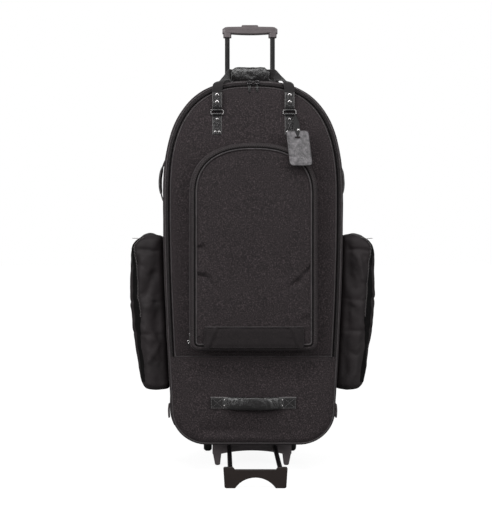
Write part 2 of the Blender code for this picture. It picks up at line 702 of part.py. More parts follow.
def makeTag():
    """Luggage tag leaning on the pocket's shoulder, its cord looped round the right ring's lower bar."""
    down = Vector((0, -math.sin(tagLean), -math.cos(tagLean)))
    ahead = Vector((0, -math.cos(tagLean), math.sin(tagLean)))
    pivot = Vector((0, barY, lowerBarZ))
    slot = pivot + down * (tagDrop + 0.015) + Vector((tagSlotX, 0, 0))
    centre = pivot + down * (tagDrop + tagLength / 2) + Vector((tagX, 0, 0))
    shape = roundedBox(0, 0, tagHalf, tagLength / 2, 0.007, 3)
    sections = []
    for depth in (-tagThickness / 2, tagThickness / 2):
        sections.append([centre + Vector((px + 0.06 * pz, 0, 0)) + down * pz + ahead * depth for px, pz in shape])
    tag = loft("luggage_tag", sections, tagHide)
    carve(tag, rod("slot", slot - ahead * 0.01, slot + ahead * 0.01, 0.005, tagHide, 12))
    loopX = strapSpacing / 2 + tabWidth / 2 + tagCord + seat
    turn = ringWire + tagCord + running
    stand = tagThickness / 2 + tagCord + seat
    path = []
    for i in range(7):
        a = math.pi * (i / 6)
        path.append(pivot + Vector((loopX, 0, 0)) + ahead * turn * math.cos(a) - down * turn * math.sin(a))
    for away, drop, across in ((-stand, 0.012, 0.25), (-stand, tagDrop - 0.004, 0.9), (-stand, tagDrop + 0.011, 1.0)):
        path.append(pivot + Vector((loopX + (tagSlotX - loopX) * across, 0, 0)) + down * drop + ahead * away)
    path.append(slot - down * 0.0005)
    for away, drop, across in ((stand, tagDrop + 0.011, 1.0), (stand, tagDrop - 0.004, 0.9), (stand, 0.012, 0.25)):
        path.append(pivot + Vector((loopX + (tagSlotX - loopX) * across, 0, 0)) + down * drop + ahead * away)
    sections = []
    for i, p in enumerate(path):
        tangent = (path[(i + 1) % len(path)] - path[i - 1]).normalized()
        one = tangent.cross(Vector((1, 0, 0))).normalized()
        other = tangent.cross(one)
        sections.append([p + one * u + other * v for u, v in circle(0, 0, tagCord, 6)])
    loft("tag_cord", sections, hide, closed=True)


# Zip sliders and pulls

def plateAlong(name, centre, along, across, size, mat, corner=0.002):
    """A flat plate with rounded corners; size is its length, width and thickness."""
    along, across = Vector(along).normalized(), Vector(across).normalized()
    up = along.cross(across)
    sections = []
    for h in (-size[2] / 2, size[2] / 2):
        sections.append([Vector(centre) + along * u + across * v + up * h
                         for u, v in roundedBox(0, 0, size[0] / 2, size[1] / 2, corner, 2)])
    return loft(name, sections, mat)


def makeSliders():
    middle = math.radians((zipStart + zipEnd) / 2)
    out = Vector((0, -math.sin(middle), math.cos(middle)))
    centre = Vector((0, frontY + edgeRound, bagTop - edgeRound))
    along = Vector((0, -math.cos(middle), -math.sin(middle)))
    for side in (-1, 1):
        name = sideName(side)
        place = centre + out * (edgeRound + seat + sliderHeight / 2) + Vector((side * mainSliderX, 0, 0))
        plateAlong("main_slider_" + name, place, (1, 0, 0), along, (sliderLength, sliderWidth, sliderHeight), steel)
        corner = centre + out * (edgeRound + seat + sliderHeight) + along * sliderWidth / 2
        top = corner.z + pullOverlap
        plateAlong("main_pull_" + name, (side * mainSliderX, corner.y - seat - pullThickness / 2, top - pullLength / 2),
                   (0, 0, 1), (1, 0, 0), (pullLength, pullWidth, pullThickness), hide)
        z = sidePocketHigh - sidePullDrop
        x = sidePocketOuter(z - pullThickness / 2) + running
        plateAlong("side_pull_" + name, (side * (x + sidePullLength / 2), frontY + sidePocketFront + sidePullBehind, z),
                   (1, 0, 0), (0, 1, 0), (sidePullLength, pullWidth, pullThickness), steel)
    x = -pocketHalf - seat - sliderHeight / 2
    slider = plateAlong("pocket_slider", (x, gussetFront, pocketSliderZ), (0, 0, 1), (0, 1, 0),
                        (sliderLength, sliderWidth, sliderHeight), steel)
    pull = plateAlong("pull", (x - sliderHeight / 2, gussetFront, pocketSliderZ - pullLength / 2 + 0.002), (0, 0, 1),
                      (0, 1, 0), (pullLength, pullWidth * 0.8, pullThickness), steel)
    join(slider, pull)


# Shoulder straps on the back

def roundBack(u, z, lift):
    """A point off the back at a height, going round to the side with u."""
    flat = sideX(z) - edgeRound
    turn = edgeRound * math.pi / 2
    if u <= flat:
        return Vector((u, backY + lift, z))
    if u <= flat + turn:
        a = (u - flat) / edgeRound
        return Vector((flat, backY - edgeRound, z)) + Vector((math.sin(a), math.cos(a), 0)) * (edgeRound + lift)
    return Vector((sideX(z) + lift, backY - edgeRound - (u - flat - turn), z))


def wrappedRibbon(name, stations, lift, side, width, thickness, mat, steps):
    """A strap laid on the back and round to the side, through stations of (u, z)."""
    route = smoothPath([(u, z, 0) for u, z in stations], steps)
    sections = []
    for i, p in enumerate(route):
        tangent = (route[min(i + 1, len(route) - 1)] - route[max(i - 1, 0)]).normalized()
        across = Vector((tangent.y, -tangent.x, 0)) * width / 2
        row = []
        for level, shares in ((lift, (-1, 0, 1)), (lift + thickness, (1, 0, -1))):
            for share in shares:
                q = p + across * share
                point = roundBack(q.x, q.y, level)
                row.append((side * point.x, point.y, point.z))
        sections.append(row)
    return loft(name, sections, mat)


def makeShoulderStrap(side):
    pad = wrappedRibbon("shoulder_strap_" + sideName(side),
                        strapPadPath, seat, side, strapPadWidth, strapPadThickness, cloth, 3)
    tail = wrappedRibbon("tail", tailPath, tailLift, side, tailWidth, tailThickness, webbing, 4)
    join(pad, tail)
    place = roundBack(adjusterAlong, adjusterZ, tailLift + tailThickness + adjusterLift)
    buckle = plateAlong("adjuster", (side * place.x, place.y, place.z), (0, 0, 1), (0, 1, 0), adjusterSize, moulded,
                        adjusterCorner)
    join(pad, buckle)


def makeHoldStrap():
    """Webbing across the bay that holds the instrument."""
    reach = sideX(holdHeight - holdWidth / 2) - wall - webbingThickness
    ahead = frontY + holdFront
    right = [(0, ahead), (reach * 0.49, ahead + 0.004), (reach * 0.84, ahead + 0.026), (reach - 0.008, ahead + 0.070),
             (reach, ahead + 0.110), (reach, frontY + holdBack)]
    points = [(-x, y, holdHeight) for x, y in reversed(right[1:])] + [(x, y, holdHeight) for x, y in right]
    ribbon("hold_strap", smoothPath(points, 3), lambda p, t: Vector((0, 0, 1)), holdWidth, webbingThickness, webbing)


# Telescopic handle

def makeHandle():
    x = tubeSpacing / 2
    for side in (-1, 1):
        low = baseTop - 0.010
        high = bezelHigh - 0.018
        outerRing = circle(side * x, tubeY, outerTubeRadius, 16)
        innerRing = circle(side * x, tubeY, outerTubeBore, 16)
        sections = [[(px, py, z) for px, py in ring]
                    for ring, z in ((outerRing, low), (outerRing, high), (innerRing, high), (innerRing, low))]
        loft("outer_tube_" + sideName(side), sections, steel, closed=True)
        outerRing = circle(side * x, tubeY, innerTubeRadius, 16)
        innerRing = circle(side * x, tubeY, innerTubeBore, 16)
        high = gripBottom + 0.0015
        sections = [[(px, py, z) for px, py in ring] for ring, z in
                    ((outerRing, innerTubeLow), (outerRing, high), (innerRing, high), (innerRing, innerTubeLow))]
        tube = loft("inner_tube_" + sideName(side), sections, darkTube, closed=True)
        glide = rod("glide", (side * x, tubeY, innerTubeLow - 0.008), (side * x, tubeY, innerTubeLow + 0.004),
                    outerTubeBore - seat, moulded)
        join(tube, glide)
    makeBezel()
    makeGrip()


def makeBezel():
    """Plastic cap at the top of the back that the tubes come out of."""
    x = tubeSpacing / 2
    shape = []
    for i in range(5):
        a = math.pi / 2 * i / 4
        shape.append((backY + bezelDepth - 0.010 + 0.010 * math.sin(a), bezelHigh - 0.010 + 0.010 * math.cos(a)))
    outline = [(backY + seat, bezelLow), (backY + seat, bezelHigh), *shape, (backY + bezelDepth, bezelLow)]
    bezel = prismX("handle_bezel", outline, -bezelHalf, bezelHalf, moulded)
    for side in (-1, 1):
        carve(bezel, rod("socket", (side * x, tubeY, bezelLow - 0.01), (side * x, tubeY, bezelHigh - 0.018 + seat),
                         outerTubeRadius + seat, moulded))
        carve(bezel, rod("hole", (side * x, tubeY, bezelLow), (side * x, tubeY, bezelHigh + 0.01),
                         innerTubeRadius + running, moulded))


def makeTubeCover():
    """Cloth channel over the outer tubes, sewn on the back panel."""
    half, deep, skin = bezelHalf, bezelDepth - 0.002, 0.003
    low, high = towerHeight + seat, bezelLow - seat

    def channel(h, d):
        points = [(-h, backY + seat)]
        for i in range(4):
            a = math.pi / 2 * i / 3
            points.append((-h + 0.012 - 0.012 * math.cos(a), backY + d - 0.012 + 0.012 * math.sin(a)))
        for i in range(4):
            a = math.pi / 2 * i / 3
            points.append((h - 0.012 + 0.012 * math.sin(a), backY + d - 0.012 + 0.012 * math.cos(a)))
        return [*points, (h, backY + seat)]

    outline = [*channel(half, deep), *reversed(channel(half - skin, deep - skin))]
    prismZ("tube_cover", outline, low, high, cloth)


def makeGrip():
    x = tubeSpacing / 2
    y = tubeY
    half = gripDepth / 2

    def bar(name, low, high, arch):
        """Rounded bar along X between two heights: its top slightly arched, or its underside fuller in the middle."""
        sections = []
        count = 20
        for i in range(count + 1):
            px = -gripHalf + 2 * gripHalf * i / count
            end = max(0.0, abs(px) - (gripHalf - gripCorner)) / gripCorner
            thin = half - 0.005 * end ** 2
            if arch:
                top = high - arch * (px / gripHalf) ** 2 - 0.0065 * end ** 2.2
                r = gripRound * (1 - 0.5 * end ** 2)
                row = [(-thin, low), (thin, low), (thin, top - r), (thin - 0.3 * r, top - 0.3 * r), (thin - r, top),
                       (-thin + r, top), (-thin + 0.3 * r, top - 0.3 * r), (-thin, top - r)]
            else:
                r = gripRound / 2
                under = low - gripBelly * max(0.0, 1 - (px / (x - 0.012)) ** 2)
                row = [(-thin + r, under), (thin - r, under), (thin, under + r), (thin, high), (-thin, high),
                       (-thin, under + r)]
            sections.append([(px, y + a, b) for a, b in row])
        return loft(name, sections, moulded)

    upper = bar("grip_upper", gripSplit + seat, gripTop, gripArch)
    shape = roundedBox(0, y, buttonHalf + running, buttonDepth / 2 + running, buttonDepth / 2, 4)
    carve(upper, prismZ("slot", shape, gripSplit - 0.01, gripTop + 0.01, moulded))
    lower = bar("grip_lower", gripBottom, gripSplit, 0)
    for side in (-1, 1):
        socket = prismZ("end", roundedBox(side * x, y, 0.0135, half - 0.0005, 0.008, 3), gripEndBottom,
                        gripBottom + 0.004, moulded)
        join(lower, socket)
    carve(lower, box("tray", (-x - 0.0045, y - 0.0052, gripSplit - 0.0085), (x + 0.0045, y + 0.0052, gripSplit + 0.01),
                     moulded))
    for side in (-1, 1):
        carve(lower, rod("socket", (side * x, y, gripEndBottom - 0.01), (side * x, y, gripBottom + 0.0018),
                         innerTubeRadius + seat, moulded))
        carve(lower, rod("way", (side * x, y, gripEndBottom), (side * x, y, gripSplit), 0.0036, moulded, 12))
    shape = roundedBox(0, y, buttonHalf + running, buttonDepth / 2 + running, buttonDepth / 2, 4)
    carve(lower, prismZ("well", shape, gripSplit - buttonTravel - running, gripSplit + 0.01, moulded))
    barTop = gripSplit - seat
    linkage = box("release_linkage", (-x - 0.0038, y - 0.0042, barTop - 0.0034), (x + 0.0038, y + 0.0042, barTop),
                  steel)
    for side in (-1, 1):
        join(linkage, rod("push", (side * x, y, innerTubeLow + 0.012 + buttonTravel + running),
                          (side * x, y, barTop - 0.001), 0.0030, steel, 10))
    button = []
    for z, inset in ((barTop + seat, 0), (gripTop + buttonRise - 0.002, 0), (gripTop + buttonRise, 0.002)):
        shape = roundedBox(0, y, buttonHalf - inset, buttonDepth / 2 - inset, buttonDepth / 2 - inset - 0.0002, 4)
        button.append([(px, py, z) for px, py in shape])
    loft("release_button", button, moulded)


# Trolley base, wheels and stand

def rodPoint(y):
    """Height of the stand's rods at a place along Y."""
    return rodHeight + (y - (frontY - standReach + standThickness)) * math.tan(rodSlope)


def makeBase():
    """Moulded frame under the bag: top plate, arched skirt, two tapered feet, rear tower with tube sockets."""
    y0, y1 = frontY + baseFront, frontY + baseRear
    towerFront = backY + 2 * seat
    base = box("trolley_base", (-baseHalf, y0, baseTop - baseWall), (baseHalf, y1, baseTop), moulded)
    arch = [(footTopInner, archFoot)]
    for i in range(1, 12):
        f = 1 - 2 * i / 12
        arch.append((footTopInner * f, archFoot + (archCrown - archFoot) * (1 - f * f)))
    arch.append((-footTopInner, archFoot))
    skirt = [(-baseHalf, baseTop - 0.001), (-baseHalf, archFoot), *reversed(arch), (baseHalf, archFoot),
             (baseHalf, baseTop - 0.001)]
    for back in (y0 + baseWall, towerFront + baseWall, y0 + 0.120):
        join(base, prismY("skirt", skirt, back - baseWall, back, moulded))
    for side in (-1, 1):
        wallShape = [(y0, 0.040), (y0, baseTop - 0.001), (y1, baseTop - 0.001), (y1, 0.030), (axleY - 0.022, 0.030),
                     (axleY - 0.060, 0.046), (y0 + 0.070, 0.046), (y0 + 0.050, 0.040)]
        inner, outer = sorted((side * (baseHalf - baseWall), side * baseHalf))
        join(base, prismX("side", wallShape, inner, outer, moulded))
        foot = []
        for z, inner, outer, shrink in ((0.0, footBottomInner + 0.004, footBottomOuter - 0.004, 0.0075),
                                        (0.0012, footBottomInner + 0.0016, footBottomOuter - 0.0016, 0.0055),
                                        (0.0045, footBottomInner, footBottomOuter, 0.0040),
                                        (0.040, footTopInner + 0.001, baseHalf - 0.0008, 0.001),
                                        (baseTop - 0.001, footTopInner, baseHalf - 0.0005, 0.0)):
            deep = footDepth / 2 - shrink
            shape = roundedBox(side * (inner + outer) / 2, y0 + 0.0001 + footDepth / 2, (outer - inner) / 2, deep,
                               footEdge, 2)
            foot.append([(px, py, z) for px, py in shape])
        join(base, loft("foot", foot, moulded))
        x = side * rodSpacing / 2
        join(base, box("guide", (x - 0.011, y0 + 0.001, 0.044), (x + 0.011, towerFront, baseTop - 0.001), moulded))
    towerBack = backY + bezelDepth
    tower = prismX("tower", [(towerFront, baseTop - 0.003), (towerFront, towerHeight), (towerBack - 0.008, towerHeight),
                             (towerBack, towerHeight - 0.008), (y1, baseTop + 0.008), (y1, 0.046),
                             (y1 - baseWall, 0.046), (y1 - baseWall, baseTop - 0.003)],
                   -baseHalf + 0.0002, baseHalf - 0.0002, moulded)
    join(base, tower)
    for side in (-1, 1):
        x = side * tubeSpacing / 2
        carve(base, rod("socket", (x, tubeY, baseTop - 0.010 - seat), (x, tubeY, towerHeight + 0.02),
                        outerTubeRadius + seat, moulded))
        x = side * rodSpacing / 2
        start, end = y0 - 0.02, y1 - baseWall - 0.001
        carve(base, rod("way", (x, start, rodPoint(start)), (x, end, rodPoint(end)), rodRadius + seat, moulded))
        carve(base, rod("hole", (side * (baseHalf - 0.03), axleY, wheelRadius), (side * (baseHalf + 0.01), axleY,
                        wheelRadius), axleRadius + seat, moulded, 12))


def makeWheel(side):
    name = sideName(side)
    guardIn = baseHalf + seat
    guardOut = guardIn + guardThickness
    near = guardOut + 0.0007
    far = near + wheelWidth
    middle = side * (near + far) / 2
    centre = (middle, axleY, wheelRadius)
    half = wheelWidth / 2
    turned("tyre_" + name, [(-half + 0.001, hubRadius + seat), (-half, wheelRadius - 0.006),
                            (-half + 0.005, wheelRadius - 0.0012), (-half + 0.009, wheelRadius),
                            (half - 0.009, wheelRadius), (half - 0.005, wheelRadius - 0.0012),
                            (half, wheelRadius - 0.006), (half - 0.001, hubRadius + seat)], centre, tyreRubber, 24)
    boss = half - 0.0002
    hub = turned("hub_" + name, [(-boss, bearingOuter + seat), (-boss, 0.0150), (-0.004, 0.0165), (-0.004, 0.0300),
                                 (-half + 0.002, 0.0320), (-half + 0.002, hubRadius), (half - 0.002, hubRadius),
                                 (half - 0.002, 0.0320), (0.004, 0.0300), (0.004, 0.0165), (boss, 0.0150),
                                 (boss, bearingOuter + seat)], centre, moulded, 24)
    for i in range(5):
        a = 2 * math.pi * (i + 0.25) / 5
        y, z = axleY + 0.0232 * math.cos(a), wheelRadius + 0.0232 * math.sin(a)
        carve(hub, rod("window", (middle - 0.03, y, z), (middle + 0.03, y, z), 0.0050, moulded, 10))
    turned("bearing_" + name, [(-boss + 0.0003, bearingBore), (-boss + 0.0003, bearingOuter),
                               (boss - 0.0003, bearingOuter), (boss - 0.0003, bearingBore)], centre, steel, 20)
    start = side * (baseHalf - 0.020)
    axle = rod("axle_" + name, (start, axleY, wheelRadius), (side * (far + 0.001), axleY, wheelRadius), axleRadius,
               steel, 12)
    headNear, headFar = side * (far + 0.0006), side * (far + 0.0036)
    join(axle, rod("head", (headNear, axleY, wheelRadius), (headFar, axleY, wheelRadius), 0.0080, steel, 12))
    nutNear, nutFar = side * (baseHalf - 0.0185), side * (baseHalf - baseWall - seat)
    join(axle, rod("nut", (nutNear, axleY, wheelRadius), (nutFar, axleY, wheelRadius), 0.0065, steel, 6))
    makeGuard(side, guardIn, guardOut, far)


def makeGuard(side, guardIn, guardOut, far):
    """Inner cheek and mudguard over the wheel."""
    inner, outer = wheelRadius + 0.0025, wheelRadius + 0.0025 + guardThickness
    first, last = math.radians(30), math.radians(158)

    def arc(radius, a, b, steps):
        return [(axleY + radius * math.cos(a + (b - a) * i / steps),
                 wheelRadius + radius * math.sin(a + (b - a) * i / steps)) for i in range(steps + 1)]

    cheekShape = [*arc(outer, first, last, 14), (axleY - 0.022, 0.032), (axleY + 0.0, 0.030)]
    low, high = sorted((side * guardIn, side * guardOut))
    guard = prismX("wheel_guard_" + sideName(side), cheekShape, low, high, moulded)
    bandShape = [*arc(outer, first, last, 14), *arc(inner, last, first, 14)]
    low, high = sorted((side * (guardOut - 0.001), side * (far + 0.0005)))
    join(guard, prismX("band", bandShape, low, high, moulded))
    carve(guard, rod("hole", (side * (guardIn - 0.01), axleY, wheelRadius), (side * (guardOut + 0.01), axleY,
                     wheelRadius), axleRadius + seat, moulded, 12))


def makeStand():
    """Foot plate on two rods that pull out from under the bag."""
    front = frontY - standReach
    back = front + standThickness
    radius = (standArchHalf ** 2 + standArchRise ** 2) / (2 * standArchRise)
    spread = math.asin(standArchHalf / radius)
    right = [(0, standTop), (standEarInner - standEarSlope, standTop), (standEarInner, standEar),
             (standHalf - 0.004, standEar), (standHalf - 0.0012, standEar - 0.0012), (standHalf, standEar - 0.004),
             (standFoot + 0.0014, 0.0045), (standFoot, 0.0014), (standFoot - 0.004, 0.0)]
    for i in range(7):
        a = spread * (1 - i / 7)
        right.append((radius * math.sin(a), radius * math.cos(a) - radius + standArchRise))
    left = [(-x, z) for x, z in reversed(right[1:])]
    outline = [*right, (0, standArchRise), *left]
    narrow = shrunk(outline, standBevel)
    rows = ((front, narrow), (front + standBevel, outline), (back - standBevel, outline), (back, narrow))
    plate = loft("stand_plate", [[(x, y, z) for x, z in shape] for y, shape in rows], standPlastic)
    for side in (-1, 1):
        x = side * rodSpacing / 2
        name = sideName(side)
        start = back - 0.008
        end = frontY + baseFront + rodEngaged
        rod("stand_rod_" + name, (x, start, rodPoint(start)), (x, end, rodPoint(end)), rodRadius, darkTube)
        bore = rod("bore", (x, start - seat, rodPoint(start - seat)), (x, back + 0.02, rodPoint(back + 0.02)),
                   rodRadius + seat, standPlastic)
        carve(plate, bore)


makeBag()
makeLid()
makePocket()
for side in (-1, 1):
    makeSidePocket(side)
    makeSideHandle(side)
    makeWheel(side)
    makeShoulderStrap(side)
makeBottomHandle()
makeCarryHandle()
makeRearLoop()
makeTag()
makeSliders()
makeHoldStrap()
makeHandle()
makeTubeCover()
makeBase()
makeStand()
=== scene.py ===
import json
import math

import bmesh
import bpy
from mathutils import Matrix, Vector, noise


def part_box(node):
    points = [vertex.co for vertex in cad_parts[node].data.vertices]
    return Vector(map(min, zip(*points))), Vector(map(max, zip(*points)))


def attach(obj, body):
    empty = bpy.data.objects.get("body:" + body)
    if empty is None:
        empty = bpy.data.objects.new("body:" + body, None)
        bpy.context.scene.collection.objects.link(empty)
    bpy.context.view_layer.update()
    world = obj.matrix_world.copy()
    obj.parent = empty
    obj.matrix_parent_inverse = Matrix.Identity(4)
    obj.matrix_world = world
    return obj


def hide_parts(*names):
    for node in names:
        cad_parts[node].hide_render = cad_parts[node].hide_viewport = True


# Tuba bag on wheels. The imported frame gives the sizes, and everything soft is built here on top of it.

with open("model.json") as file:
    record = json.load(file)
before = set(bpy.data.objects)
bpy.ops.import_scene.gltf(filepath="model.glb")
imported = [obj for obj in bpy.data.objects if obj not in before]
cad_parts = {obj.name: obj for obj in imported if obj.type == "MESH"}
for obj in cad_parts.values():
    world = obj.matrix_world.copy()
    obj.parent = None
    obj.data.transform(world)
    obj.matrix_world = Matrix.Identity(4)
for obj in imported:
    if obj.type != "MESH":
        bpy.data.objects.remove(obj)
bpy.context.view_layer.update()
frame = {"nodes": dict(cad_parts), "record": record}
bodyOf = {node: body for body, nodes in frame["record"]["behaviour"]["bodies"].items() for node in nodes}
slotOf = {part["node"]: part["material_slot"] for part in frame["record"]["subparts"]}
print("frame loaded:", len(bodyOf), "nodes")


# Materials: each reads Object coordinates, so the weave runs on from piece to piece

def newMaterial(name, color, roughness, metallic=0.0, **sockets):
    mat = bpy.data.materials.new(name)
    mat.use_nodes = True
    shader = mat.node_tree.nodes["Principled BSDF"]
    shader.inputs["Base Color"].default_value = (*color, 1)
    shader.inputs["Roughness"].default_value = roughness
    shader.inputs["Metallic"].default_value = metallic
    for socket, value in sockets.items():
        shader.inputs[socket.replace("_", " ")].default_value = value
    mat.diffuse_color = (*color, 1)
    return mat


def addNode(mat, kind, **values):
    node = mat.node_tree.nodes.new(kind)
    for key, value in values.items():
        if hasattr(node, key):
            setattr(node, key, value)
        else:
            node.inputs[key.replace("_", " ")].default_value = value
    return node


def join(mat, source, target):
    mat.node_tree.links.new(source, target)


def objectCoords(mat):
    return addNode(mat, "ShaderNodeTexCoord").outputs["Object"]


def noiseNode(mat, coords, scale, detail=2.0, roughness=0.5, distortion=0.0):
    node = addNode(mat, "ShaderNodeTexNoise", Scale=scale, Detail=detail, Roughness=roughness, Distortion=distortion)
    join(mat, coords, node.inputs["Vector"])
    return node.outputs["Fac"]


def waveNode(mat, coords, direction, pitch, distortion=0.0):
    node = addNode(mat, "ShaderNodeTexWave", bands_direction=direction, Scale=0.314159 / pitch, Distortion=distortion)
    join(mat, coords, node.inputs["Vector"])
    return node.outputs["Fac"]


def mathNode(mat, operation, one, other):
    node = addNode(mat, "ShaderNodeMath", operation=operation)
    for i, value in enumerate((one, other)):
        if isinstance(value, (int, float)):
            node.inputs[i].default_value = value
        else:
            join(mat, value, node.inputs[i])
    return node.outputs[0]


def rampNode(mat, fac, stops):
    node = addNode(mat, "ShaderNodeValToRGB")
    ramp = node.color_ramp
    while len(ramp.elements) < len(stops):
        ramp.elements.new(0.5)
    for element, (place, color) in zip(ramp.elements, stops):
        element.position = place
        element.color = (*color, 1) if len(color) == 3 else color
    join(mat, fac, node.inputs["Fac"])
    return node.outputs["Color"]


def mixColors(mat, fac, one, other, blend="MIX"):
    node = addNode(mat, "ShaderNodeMix", data_type="RGBA", blend_type=blend)
    sockets = [s for s in node.inputs if s.type == "RGBA"]
    if isinstance(fac, (int, float)):
        node.inputs[0].default_value = fac
    else:
        join(mat, fac, node.inputs[0])
    for socket, value in zip(sockets, (one, other)):
        if isinstance(value, tuple):
            socket.default_value = (*value, 1)
        else:
            join(mat, value, socket)
    return [s for s in node.outputs if s.type == "RGBA"][0]


def setColor(mat, color):
    join(mat, color, mat.node_tree.nodes["Principled BSDF"].inputs["Base Color"])


def setRoughness(mat, fac, low, high):
    node = addNode(mat, "ShaderNodeMapRange", To_Min=low, To_Max=high)
    join(mat, fac, node.inputs["Value"])
    join(mat, node.outputs["Result"], mat.node_tree.nodes["Principled BSDF"].inputs["Roughness"])


def setBump(mat, *layers):
    # each layer is (height, strength, distance); later layers lie on earlier ones
    before = None
    for height, strength, distance in layers:
        bump = addNode(mat, "ShaderNodeBump", Strength=strength, Distance=distance)
        join(mat, height, bump.inputs["Height"])
        if before:
            join(mat, before.outputs["Normal"], bump.inputs["Normal"])
        before = bump
    join(mat, before.outputs["Normal"], mat.node_tree.nodes["Principled BSDF"].inputs["Normal"])


def shade(color, factor):
    return tuple(c * factor for c in color)


clothLook = dict(color=(0.0288, 0.0222, 0.0240), threadPitch=0.0013, speckScale=300, patchScale=11)


def wovenCloth(name, look, darker=1.0):
    color = shade(look["color"], darker)
    mat = newMaterial(name, color, 0.86, Sheen_Weight=0.06, Sheen_Roughness=0.45, Specular_IOR_Level=0.30)
    coords = objectCoords(mat)
    specks = noiseNode(mat, coords, look["speckScale"], 2, 0.65)
    threads = rampNode(mat, specks, [(0.34, shade(color, 0.45)), (0.50, shade(color, 0.90)),
                                     (0.60, shade(color, 1.45)), (0.72, shade(color, 3.0))])
    patches = rampNode(mat, noiseNode(mat, coords, look["patchScale"], 4, 0.55),
                       [(0.30, (0.93, 0.93, 0.93)), (0.70, (1.05, 1.05, 1.05))])
    setColor(mat, mixColors(mat, 1.0, threads, patches, "MULTIPLY"))
    weave = mathNode(mat, "ADD", waveNode(mat, coords, "X", look["threadPitch"]),
                     waveNode(mat, coords, "Z", look["threadPitch"]))
    weave = mathNode(mat, "ADD", weave, waveNode(mat, coords, "Y", look["threadPitch"]))
    setBump(mat, (noiseNode(mat, coords, 20, 3, 0.5), 0.22, 0.0020), (weave, 0.35, 0.00022), (specks, 0.50, 0.0006))
    return mat


nylonLook = dict(color=(0.0178, 0.0138, 0.0150), threadPitch=0.0009)


def softNylon(name, look):
    color = look["color"]
    mat = newMaterial(name, color, 0.66, Sheen_Weight=0.03, Sheen_Roughness=0.35, Specular_IOR_Level=0.34)
    coords = objectCoords(mat)
    patches = noiseNode(mat, coords, 17, 4, 0.55)
    setColor(mat, rampNode(mat, patches, [(0.28, shade(color, 0.78)), (0.72, shade(color, 1.30))]))
    setRoughness(mat, noiseNode(mat, coords, 60, 3), 0.58, 0.76)
    twill = mathNode(mat, "ADD", waveNode(mat, coords, "DIAGONAL", look["threadPitch"]),
                     waveNode(mat, coords, "Z", look["threadPitch"]))
    setBump(mat, (noiseNode(mat, coords, 26, 4, 0.6, 0.6), 0.45, 0.0040), (twill, 0.22, 0.00016))
    return mat


strapLook = dict(color=(0.0150, 0.0124, 0.0132), ribPitch=0.0016)


def webbingCloth(name, look):
    # ribs across the strap, read from the strap's own along and across values
    color = look["color"]
    mat = newMaterial(name, color, 0.72, Sheen_Weight=0.08, Specular_IOR_Level=0.35)
    along = addNode(mat, "ShaderNodeAttribute", attribute_name="along").outputs["Fac"]
    across = addNode(mat, "ShaderNodeAttribute", attribute_name="across").outputs["Fac"]
    joined = addNode(mat, "ShaderNodeCombineXYZ")
    join(mat, along, joined.inputs["X"])
    join(mat, across, joined.inputs["Y"])
    ribs = waveNode(mat, joined.outputs[0], "X", look["ribPitch"])
    yarns = waveNode(mat, joined.outputs[0], "Y", look["ribPitch"] * 1.4)
    weave = mathNode(mat, "MULTIPLY", ribs, yarns)
    setColor(mat, rampNode(mat, weave, [(0.05, shade(color, 0.62)), (0.80, shade(color, 1.30))]))
    setBump(mat, (weave, 0.55, 0.0006), (noiseNode(mat, objectCoords(mat), 900, 2), 0.25, 0.0003))
    return mat


leatherLook = dict(color=(0.0085, 0.0076, 0.0080), grain=430)


def grainedLeather(name, color, grain, low, high, coat=0.0, mottle=1.35, patch=24):
    mat = newMaterial(name, color, (low + high) / 2, Specular_IOR_Level=0.55, Coat_Weight=coat, Coat_Roughness=0.22)
    coords = objectCoords(mat)
    # creased pebble grain over broad wrinkles, so the shine breaks up
    cells = addNode(mat, "ShaderNodeTexVoronoi", feature="DISTANCE_TO_EDGE", Scale=grain)
    join(mat, coords, cells.inputs["Vector"])
    pebbles = rampNode(mat, cells.outputs["Distance"], [(0.0, (0, 0, 0)), (0.22, (1, 1, 1))])
    wrinkles = noiseNode(mat, coords, 95, 5, 0.62, 0.8)
    rubbed = noiseNode(mat, coords, patch, 4, 0.6)
    setColor(mat, rampNode(mat, rubbed, [(0.36, shade(color, 1.05 / mottle)), (0.50, color),
                                         (0.66, shade(color, mottle))]))
    setRoughness(mat, noiseNode(mat, coords, 70, 4, 0.6), low, high)
    setBump(mat, (noiseNode(mat, coords, 38, 3, 0.6, 1.2), 0.60, 0.0050), (wrinkles, 0.32, 0.0018),
            (pebbles, 0.40, 0.0004))
    return mat


def mouldedPlastic(name, color, roughness, grain=1500):
    mat = newMaterial(name, color, roughness, Specular_IOR_Level=0.45)
    coords = objectCoords(mat)
    setColor(mat, rampNode(mat, noiseNode(mat, coords, 26, 5, 0.6),
                           [(0.3, shade(color, 0.88)), (0.7, shade(color, 1.14))]))
    setRoughness(mat, noiseNode(mat, coords, 48, 4, 0.65), roughness - 0.08, roughness + 0.09)
    setBump(mat, (noiseNode(mat, coords, grain, 2), 0.28, 0.0003))
    return mat


def brushedMetal(name, color, roughness, stretch=(900, 900, 12)):
    mat = newMaterial(name, color, roughness, 1.0)
    coords = objectCoords(mat)
    mapping = addNode(mat, "ShaderNodeMapping")
    mapping.inputs["Scale"].default_value = stretch
    join(mat, coords, mapping.inputs["Vector"])
    lines = noiseNode(mat, mapping.outputs[0], 1.0, 3, 0.6)
    setColor(mat, rampNode(mat, noiseNode(mat, coords, 40, 4), [(0.3, shade(color, 0.86)), (0.7, shade(color, 1.08))]))
    setRoughness(mat, lines, max(0.05, roughness - 0.07), roughness + 0.10)
    setBump(mat, (lines, 0.08, 0.0002))
    return mat


def tyreRubber(name, color):
    mat = newMaterial(name, color, 0.62, Specular_IOR_Level=0.35)
    coords = objectCoords(mat)
    dust = noiseNode(mat, coords, 70, 5, 0.7)
    setColor(mat, rampNode(mat, dust, [(0.35, color), (0.75, shade(color, 1.9))]))
    setRoughness(mat, dust, 0.52, 0.78)
    setBump(mat, (noiseNode(mat, coords, 700, 3), 0.35, 0.0004))
    return mat


